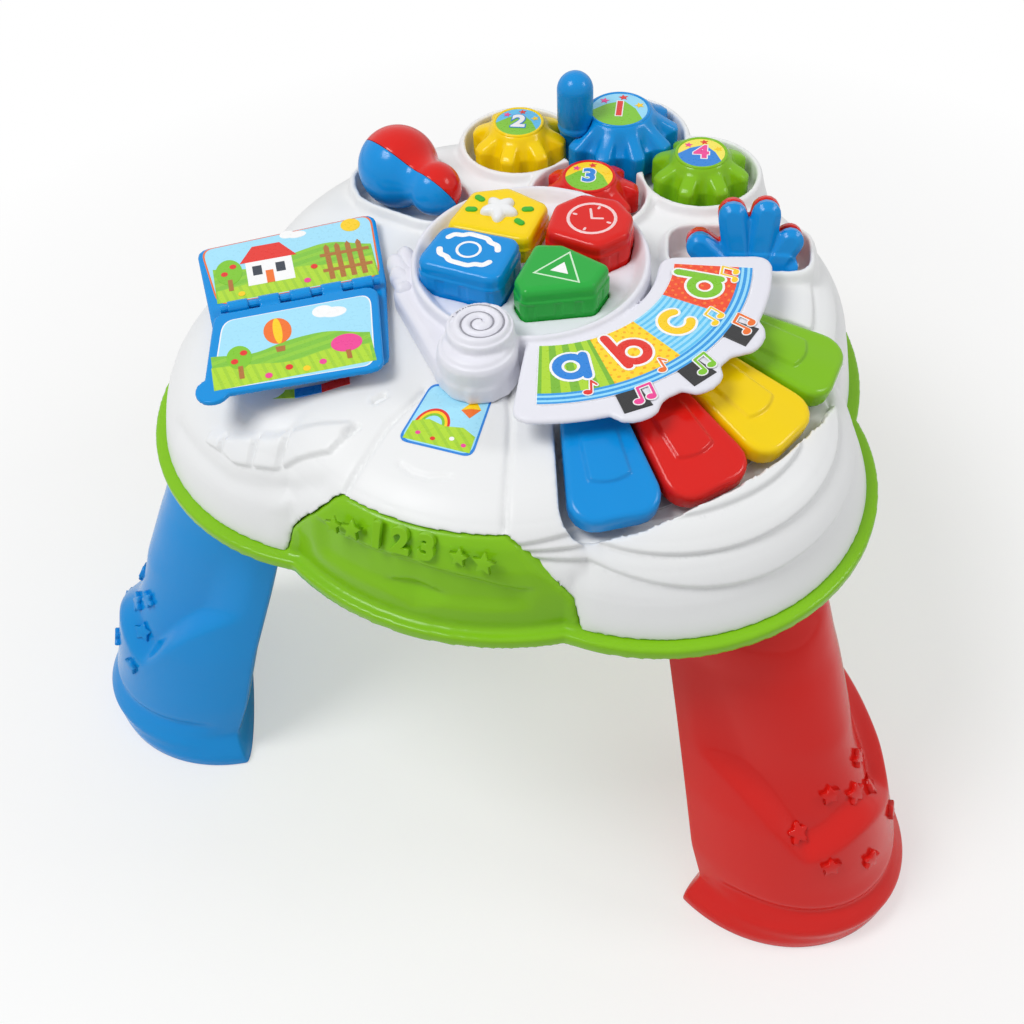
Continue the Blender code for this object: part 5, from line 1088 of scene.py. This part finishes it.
def maraca_rings():
    """Rings of both bulbs, joined by a waist, along +x."""
    (big, _, start, end), (small, length, low, high) = MARACA_BULBS
    profile = [(big * sin(a), -big * cos(a)) for a in np.linspace(start, end, 30)]
    first, last = profile[-1], (small * sin(low), length - small * cos(low))
    profile += [(first[0] + (last[0] - first[0]) * t - WAIST_DIP * sin(t * pi), first[1] + (last[1] - first[1]) * t)
                for t in np.linspace(0, 1, 8)[1:-1]]
    profile += [(small * sin(a), length - small * cos(a)) for a in np.linspace(low, high, 22)]
    turns = np.linspace(0, 2 * pi, 96, endpoint=False)
    return [[(x, r * cos(a), r * sin(a)) for a in turns] for r, x in profile]


for side, colour, way in HALVES:
    half = moulded("maraca_" + side + "_moulded", maraca_rings())
    facing = Vector((0, way * cos(radians(SEAM_LEAN)), way * sin(radians(SEAM_LEAN))))
    with shaping(half):
        bpy.ops.mesh.bisect(plane_co=facing * SEAM_GAP, plane_no=-facing, use_fill=True, clear_outer=True)
    worked(half, "BEVEL", width=SEAM_EDGE, segments=2, limit_method="ANGLE", angle_limit=radians(60))
    placed(half, MARACA_BIG, MARACA_TURN)
    dressed(half, plastic("maraca_" + side + "_gloss", colour, 0.17, pores=0.03), "maraca_" + side)
    pick(half)
    bpy.ops.object.shade_smooth_by_angle(angle=radians(50))

# Castanet: two hand-shaped shells on one pin, blue in front and red behind. Each finger is puffed, with a groove down
# to the palm on either side.

CASTANET_VOXEL, CASTANET_ROUNDS = 0.0007, 6
CASTANET_PIN, CASTANET_TURN, CASTANET_LEAN = (0.117, 0.0625, 0.3262), 14, -20
FINGERS = ((-0.0310, 0.0180), (-0.0130, 0.0360), (0.0060, 0.0375), (0.0210, 0.0220))
FINGER_GROOVE, GROOVE_SPAN = 0.0032, (0.0035, 0.0088)

upright = Matrix.Translation((CASTANET_PIN[0], CASTANET_PIN[1] + AXIS_Y, CASTANET_PIN[2]))
upright = upright @ Matrix.Rotation(radians(CASTANET_TURN), 4, "Z") @ Matrix.Rotation(radians(CASTANET_LEAN), 4, "X")
for side, colour, way in HALVES:
    half = softened("castanet_" + side, CASTANET_VOXEL, CASTANET_ROUNDS)
    half.data.transform(upright.inverted())
    points = points_of(half)
    sheer = points[:, [0, 2]] + (0, 0.006)
    nearest = np.min([line_distance(sheer, ((tip[0] * 0.5, 0.004), tip)) for tip in FINGERS], axis=0)
    outer = smoothstep(0.004, 0.010, way * points[:, 1]) * smoothstep(0.006, 0.014, sheer[:, 1])
    points[:, 1] -= way * outer * FINGER_GROOVE * smoothstep(*GROOVE_SPAN, nearest)
    put_points(half, points)
    half.data.transform(upright)
    dressed(half, plastic("castanet_" + side + "_gloss", colour, 0.18, pores=0.03), "castanet_" + side)

# Book: a blue base plate and one turning page on five knuckles, both printed with a farm-side picture: hills, a fence,
# a cottage, trees, clouds, a balloon and flowers. Outlines are in shares of half the length and of the width.

BOOK_VOXEL = 0.0008
BOOK_PLACE, BOOK_TURN = (-0.1190, -0.0570), 213
BOOK_HALF, PAGE_WIDTH = 0.046, 0.072
BASE_TOP, PAGE_TOP, PAGE_LOW = 0.3373, 0.3432, 0.3400
PRINT_THICK, LAYER_RISE = 0.00012, 0.00001
BACK_CORNERS = ((-1.087, -0.115), (-1.174, -0.972), (1.217, -0.889), (1.087, -0.115))
FLIP_CORNERS = ((-0.957, 0.125), (1.087, 0.125), (1.348, 0.972), (-0.783, 1.028))
CORNER_ROUND = 0.14


def on_page(shapes, top, upside_down=False):
    """Printed shapes on a page, each over the last."""
    items = []
    for layer, (outline, paint) in enumerate(shapes):
        places = [(x * BOOK_HALF, y * PAGE_WIDTH) for x, y in outline]
        items.append(coloured(slab(places, 0, PRINT_THICK + layer * LAYER_RISE), paint))
    art = joined("art", *items)
    if upside_down:
        art.data.transform(Matrix.Rotation(pi, 4, "X") @ Matrix.Diagonal((1, -1, 1, 1)))
        with shaping(art):
            bpy.ops.mesh.normals_make_consistent(inside=False)
    return placed(art, (*BOOK_PLACE, top), BOOK_TURN)


def hill_line(left, right, low, levels):
    """A ground shape: a wavy top line through a few heights over a flat low edge."""
    xs = np.linspace(left, right, 25)
    tops = np.interp(xs, np.linspace(left, right, len(levels)), levels)
    tops = np.convolve(np.pad(tops, 2, mode="edge"), np.ones(5) / 5, "valid")
    return [(right, low), *zip(xs[::-1], tops[::-1]), (left, low)]


def framed(corners, share):
    """A page outline drawn in toward its middle, with its corners rounded."""
    middle = np.mean(corners, 0)
    points = []
    inner = [middle + (np.array(corner) - middle) * share for corner in corners]
    for index, corner in enumerate(inner):
        ways = [inner[index - 1] - corner, inner[(index + 1) % len(inner)] - corner]
        start, end = (corner + way * (CORNER_ROUND / np.linalg.norm(way)) for way in ways)
        points += [tuple((1 - t) ** 2 * start + 2 * t * (1 - t) * corner + t**2 * end) for t in np.linspace(0, 1, 7)]
    return points


def blooms(wide, high, *spots):
    return [(oval(x, y, wide, high, 12), paint) for x, y, paint in spots]


page_sky = ink("page_sky", (0.36, 0.74, 0.93))
page_grass = printed("page_grass", (0.42, 0.68, 0.02), (0.34, 0.60, 0.02),
                     lambda tree, x, y: ((x + y) * 900).maths("SINE") > 0.4)
page_meadow = printed("page_meadow", (0.20, 0.52, 0.03), (0.26, 0.58, 0.03),
                      lambda tree, x, y: ((x - y) * 700).maths("SINE") > 0.2)
fence_brown = ink("fence_brown", (0.42, 0.15, 0.02))
window_dark = ink("window_dark", (0.02, 0.03, 0.05))
page_blue = plastic("book_blue_gloss", BLUE, 0.22)

back_art = [
    (framed(BACK_CORNERS, 0.955), orange_ink), (framed(BACK_CORNERS, 0.935), page_sky),
    (hill_line(-1.02, 1.04, -0.15, (-0.55, -0.70, -0.62, -0.50, -0.60)), page_meadow),
    (hill_line(-1.00, 1.02, -0.15, (-0.42, -0.38, -0.45, -0.34, -0.30)), page_grass),
    *(([(x - 0.035, -0.20), (x + 0.035, -0.20), (x + 0.035, -0.62), (x, -0.66), (x - 0.035, -0.62)], fence_brown)
      for x in (-0.86, -0.72, -0.58, -0.44)),
    (box(-0.98, -0.34, -0.34, -0.30), fence_brown), (box(-0.98, -0.54, -0.34, -0.50), fence_brown),
    (box(0.02, -0.30, 0.62, -0.62), white_ink),
    ([(-0.05, -0.60), (0.69, -0.60), (0.50, -0.80), (0.14, -0.80)], red_ink),
    (box(0.12, -0.42, 0.24, -0.54), window_dark), (box(0.42, -0.42, 0.54, -0.54), window_dark),
    (box(0.28, -0.30, 0.38, -0.46), orange_ink),
    (oval(-0.10, -0.86, 0.13, 0.045), white_ink), (oval(0.02, -0.88, 0.10, 0.05), white_ink),
    (oval(0.84, -0.52, 0.17, 0.16), green_ink), (box(0.81, -0.28, 0.87, -0.42), fence_brown),
    (oval(-0.82, -0.86, 0.13, 0.085), yellow_ink),
    *blooms(0.045, 0.030, (-0.12, -0.24, pink_ink), (0.72, -0.22, yellow_ink), (-0.24, -0.40, red_ink),
            (0.90, -0.50, red_ink), (0.78, -0.58, red_ink)),
]
flip_art = [
    (framed(FLIP_CORNERS, 0.90), white_ink), (framed(FLIP_CORNERS, 0.885), page_sky),
    (hill_line(-0.72, 1.19, 0.935, (0.62, 0.50, 0.52, 0.62, 0.55)), page_meadow),
    (hill_line(-0.68, 1.20, 0.935, (0.74, 0.70, 0.78, 0.72, 0.68)), page_grass),
    (oval(-0.35, 0.30, 0.16, 0.060), white_ink), (oval(-0.22, 0.27, 0.13, 0.070), white_ink),
    (oval(0.36, 0.40, 0.17, 0.150), orange_ink),
    ([(0.30, 0.58), (0.42, 0.58), (0.41, 0.64), (0.31, 0.64)], fence_brown),
    (oval(0.36, 0.40, 0.055, 0.150), yellow_ink), (oval(-0.42, 0.68, 0.19, 0.10), pink_ink),
    (box(-0.45, 0.76, -0.39, 0.86), fence_brown),
    (oval(0.86, 0.62, 0.15, 0.13), green_ink), (box(0.83, 0.72, 0.89, 0.86), fence_brown),
    *blooms(0.045, 0.030, (-0.10, 0.84, pink_ink), (0.10, 0.88, yellow_ink), (0.30, 0.83, red_ink),
            (0.55, 0.88, pink_ink), (0.80, 0.58, red_ink), (0.92, 0.66, red_ink)),
]
front_art = [
    (framed(FLIP_CORNERS, 0.88), red_ink), (framed(FLIP_CORNERS, 0.845), page_sky),
    (hill_line(-0.70, 1.15, 0.90, (0.58, 0.66, 0.60, 0.70)), page_meadow),
    (oval(-0.42, 0.36, 0.14, 0.10), yellow_ink), (oval(0.60, 0.34, 0.20, 0.06), white_ink),
    (oval(0.75, 0.58, 0.16, 0.12), pink_ink), (box(0.72, 0.66, 0.78, 0.78), fence_brown),
    *blooms(0.055, 0.036, (-0.40, 0.80, red_ink), (-0.10, 0.72, yellow_ink), (0.20, 0.82, pink_ink),
            (0.45, 0.74, red_ink)),
]
under_art = [
    (framed(FLIP_CORNERS, 0.90), yellow_ink), (framed(FLIP_CORNERS, 0.86), page_sky),
    (hill_line(-0.70, 1.17, 0.90, (0.70, 0.60, 0.68, 0.62)), page_grass),
    (oval(0.80, 0.32, 0.14, 0.10), yellow_ink), (oval(-0.30, 0.34, 0.20, 0.06), white_ink),
    (oval(0.10, 0.56, 0.17, 0.14), green_ink), (box(0.07, 0.66, 0.13, 0.80), fence_brown),
    *blooms(0.055, 0.036, (-0.45, 0.82, pink_ink), (-0.20, 0.76, red_ink), (0.45, 0.84, yellow_ink),
            (0.75, 0.78, pink_ink)),
]
for node, arts in (("book_base", ((back_art, BASE_TOP), (front_art, BASE_TOP))),
                   ("book_page", ((flip_art, PAGE_TOP), (under_art, PAGE_LOW, True)))):
    sheet = coloured(softened(node, BOOK_VOXEL, 2), page_blue)
    dressed(joined(node + "_printed", sheet, *(on_page(*art) for art in arts)), None, node)

# Picture label: a printed film on the plate in front of the hub, a kite and a rainbow over a hill. Outlines are in
# shares of its width, left to right, and of its height, bottom to top.

LABEL = ((-0.0254, -0.0907), (0.0102, -0.0894), (0.0152, -0.1362), (-0.0272, -0.1360))
LABEL_TOP, LABEL_THICK, LABEL_LAYER = 0.3302, 0.0004, 0.00002
RAINBOW_FOOT, RAINBOW_SQUEEZE, RAINBOW_BAND = (0.32, 0.34), 0.9, 0.04


def label_shape(outline, paint, layer):
    top_left, top_right, low_right, low_left = (np.array(corner) for corner in LABEL)
    places = [(1 - v) * ((1 - u) * low_left + u * low_right) + v * ((1 - u) * top_left + u * top_right)
              for u, v in outline]
    return film(paint, places, LABEL_TOP - LABEL_THICK, LABEL_TOP + layer * LABEL_LAYER)


def rainbow(radius):
    u, v = RAINBOW_FOOT
    turns = np.linspace(0, pi, 20)
    return [(u + reach * RAINBOW_SQUEEZE * cos(a), v + reach * sin(a))
            for reach, way in ((radius, 1), (radius - RAINBOW_BAND, -1)) for a in turns[::way]]


label = [
    (framed(box(0, 0, 1, 1), 1.0), blue_ink, 1), (framed(box(0.03, 0.03, 0.97, 0.97), 1.0), page_sky, 2),
    (rainbow(0.27), red_ink, 3), (rainbow(0.23), yellow_ink, 4), (rainbow(0.19), green_ink, 5),
    ([(0.05, 0.05), (0.95, 0.05), (0.95, 0.30), (0.75, 0.40), (0.5, 0.36), (0.25, 0.42), (0.05, 0.34)], page_grass, 6),
    ([(0.62, 0.66), (0.78, 0.56), (0.90, 0.72), (0.76, 0.86)], orange_ink, 7),
    ([(0.62, 0.66), (0.76, 0.71), (0.90, 0.72), (0.76, 0.86)], yellow_ink, 8),
    *((*bloom, 8) for bloom in blooms(0.035, 0.03, (0.2, 0.18, pink_ink), (0.42, 0.14, red_ink),
                                      (0.66, 0.20, white_ink), (0.84, 0.14, pink_ink))),
]
label = joined("picture_label", *(label_shape(*shape) for shape in label))
pick(label)
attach(label, "table")

# Colour strip: four printed fields in a row on the cover, along the front edge of the book. Each is a thin film bent
# to the cover's slope.

STRIP_LINE = ((-0.1268, -0.1336, 0.3168), (-0.1104, -0.1240, 0.3234), (-0.0950, -0.1205, 0.3262),
              (-0.0812, -0.1143, 0.3282), (-0.0683, -0.1049, 0.3300))
STRIP_BACK, STRIP_THICK = np.array((-0.0025, 0.0050, 0.0008)), 0.0006

fields = []
for start, end, paint in zip(STRIP_LINE, STRIP_LINE[1:], (orange_ink, page_grass, blue_ink, red_ink)):
    rings = []
    for share in np.linspace(0, 1, 5):
        front = np.array(start) * (1 - share) + np.array(end) * share + (0, AXIS_Y, STRIP_THICK)
        back, under = front + STRIP_BACK, np.array((0, 0, -3 * STRIP_THICK))
        rings.append([front, back, back + under, front + under])
    fields.append(coloured(moulded("field", rings), paint))
strip = joined("colour_strip", *fields)
pick(strip)
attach(strip, "table")

# Pieces inside and below: the imported forms are right, so all but the domes keep them. They get zinc, silicone, board
# laminate, battery sleeve, black cone paper and the rim's lime plastic. A dome is a soft copy of its imported form.

DOME_VOXEL, DOME_PRESS = 0.0005, 0.0031
SLEEVE_BAND = 0.014


def metal(name, colour, roughness):
    """Plated steel with fine turned scratches."""
    made, tree, finish = new_paint(name)
    place = tree.node("Mapping", values={"Vector": tree.node("TexCoord", output="Object"), "Scale": (4.0, 4.0, 60.0)})
    scratches = tree.node("TexNoise", values={"Vector": place, "Scale": 40.0})
    finish["Metallic"].default_value = 1.0
    tree.feed(finish["Base Color"], tree.mix(scratches, tuple(c * 0.85 for c in colour), colour))
    tree.feed(finish["Roughness"], roughness + scratches * 0.15)
    return made


def laminate(tree, x, y):
    """Copper tracks that shine through the green mask."""
    return ((x * 900).maths("SINE") * (y * 900).maths("SINE")).maths("ABSOLUTE") > 0.75


def sleeve_band(tree, x, y):
    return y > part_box("battery_1")[1].y - SLEEVE_BAND


zinc = metal("zinc_plate", (0.66, 0.66, 0.68), 0.25)
silicone = plastic("silicone_grey", (0.50, 0.50, 0.53), 0.55, mottle=0.03, pores=0.15)
for name in BUTTON_TOPS:
    dome = dressed(softened("dome_" + name, DOME_VOXEL, 2), silicone, "dome_" + name)
    low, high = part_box("dome_" + name)
    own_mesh(dome)
PAINTS = {
    "case_screw": zinc, "door_screw": zinc, "castanet_pin": zinc, "book_pin": page_blue, "key_strip": silicone,
    "battery_door": plastic("door_lime", LIME, 0.32),
    "battery_": printed("battery_sleeve", (0.03, 0.03, 0.035), (0.70, 0.45, 0.10), sleeve_band),
    "axle_": bpy.data.materials["shell_white"],
    "circuit_board": printed("board_laminate", (0.010, 0.17, 0.06), (0.03, 0.30, 0.12), laminate, 0.35),
    "speaker": plastic("speaker_black", (0.025, 0.025, 0.027), 0.6, pores=0.25),
    "power_switch": plastic("switch_black", (0.03, 0.03, 0.033), 0.4),
}
for node, item in frame["nodes"].items():
    if not item.hide_render:
        coloured(item, next(paint for start, paint in PAINTS.items() if node.startswith(start)))
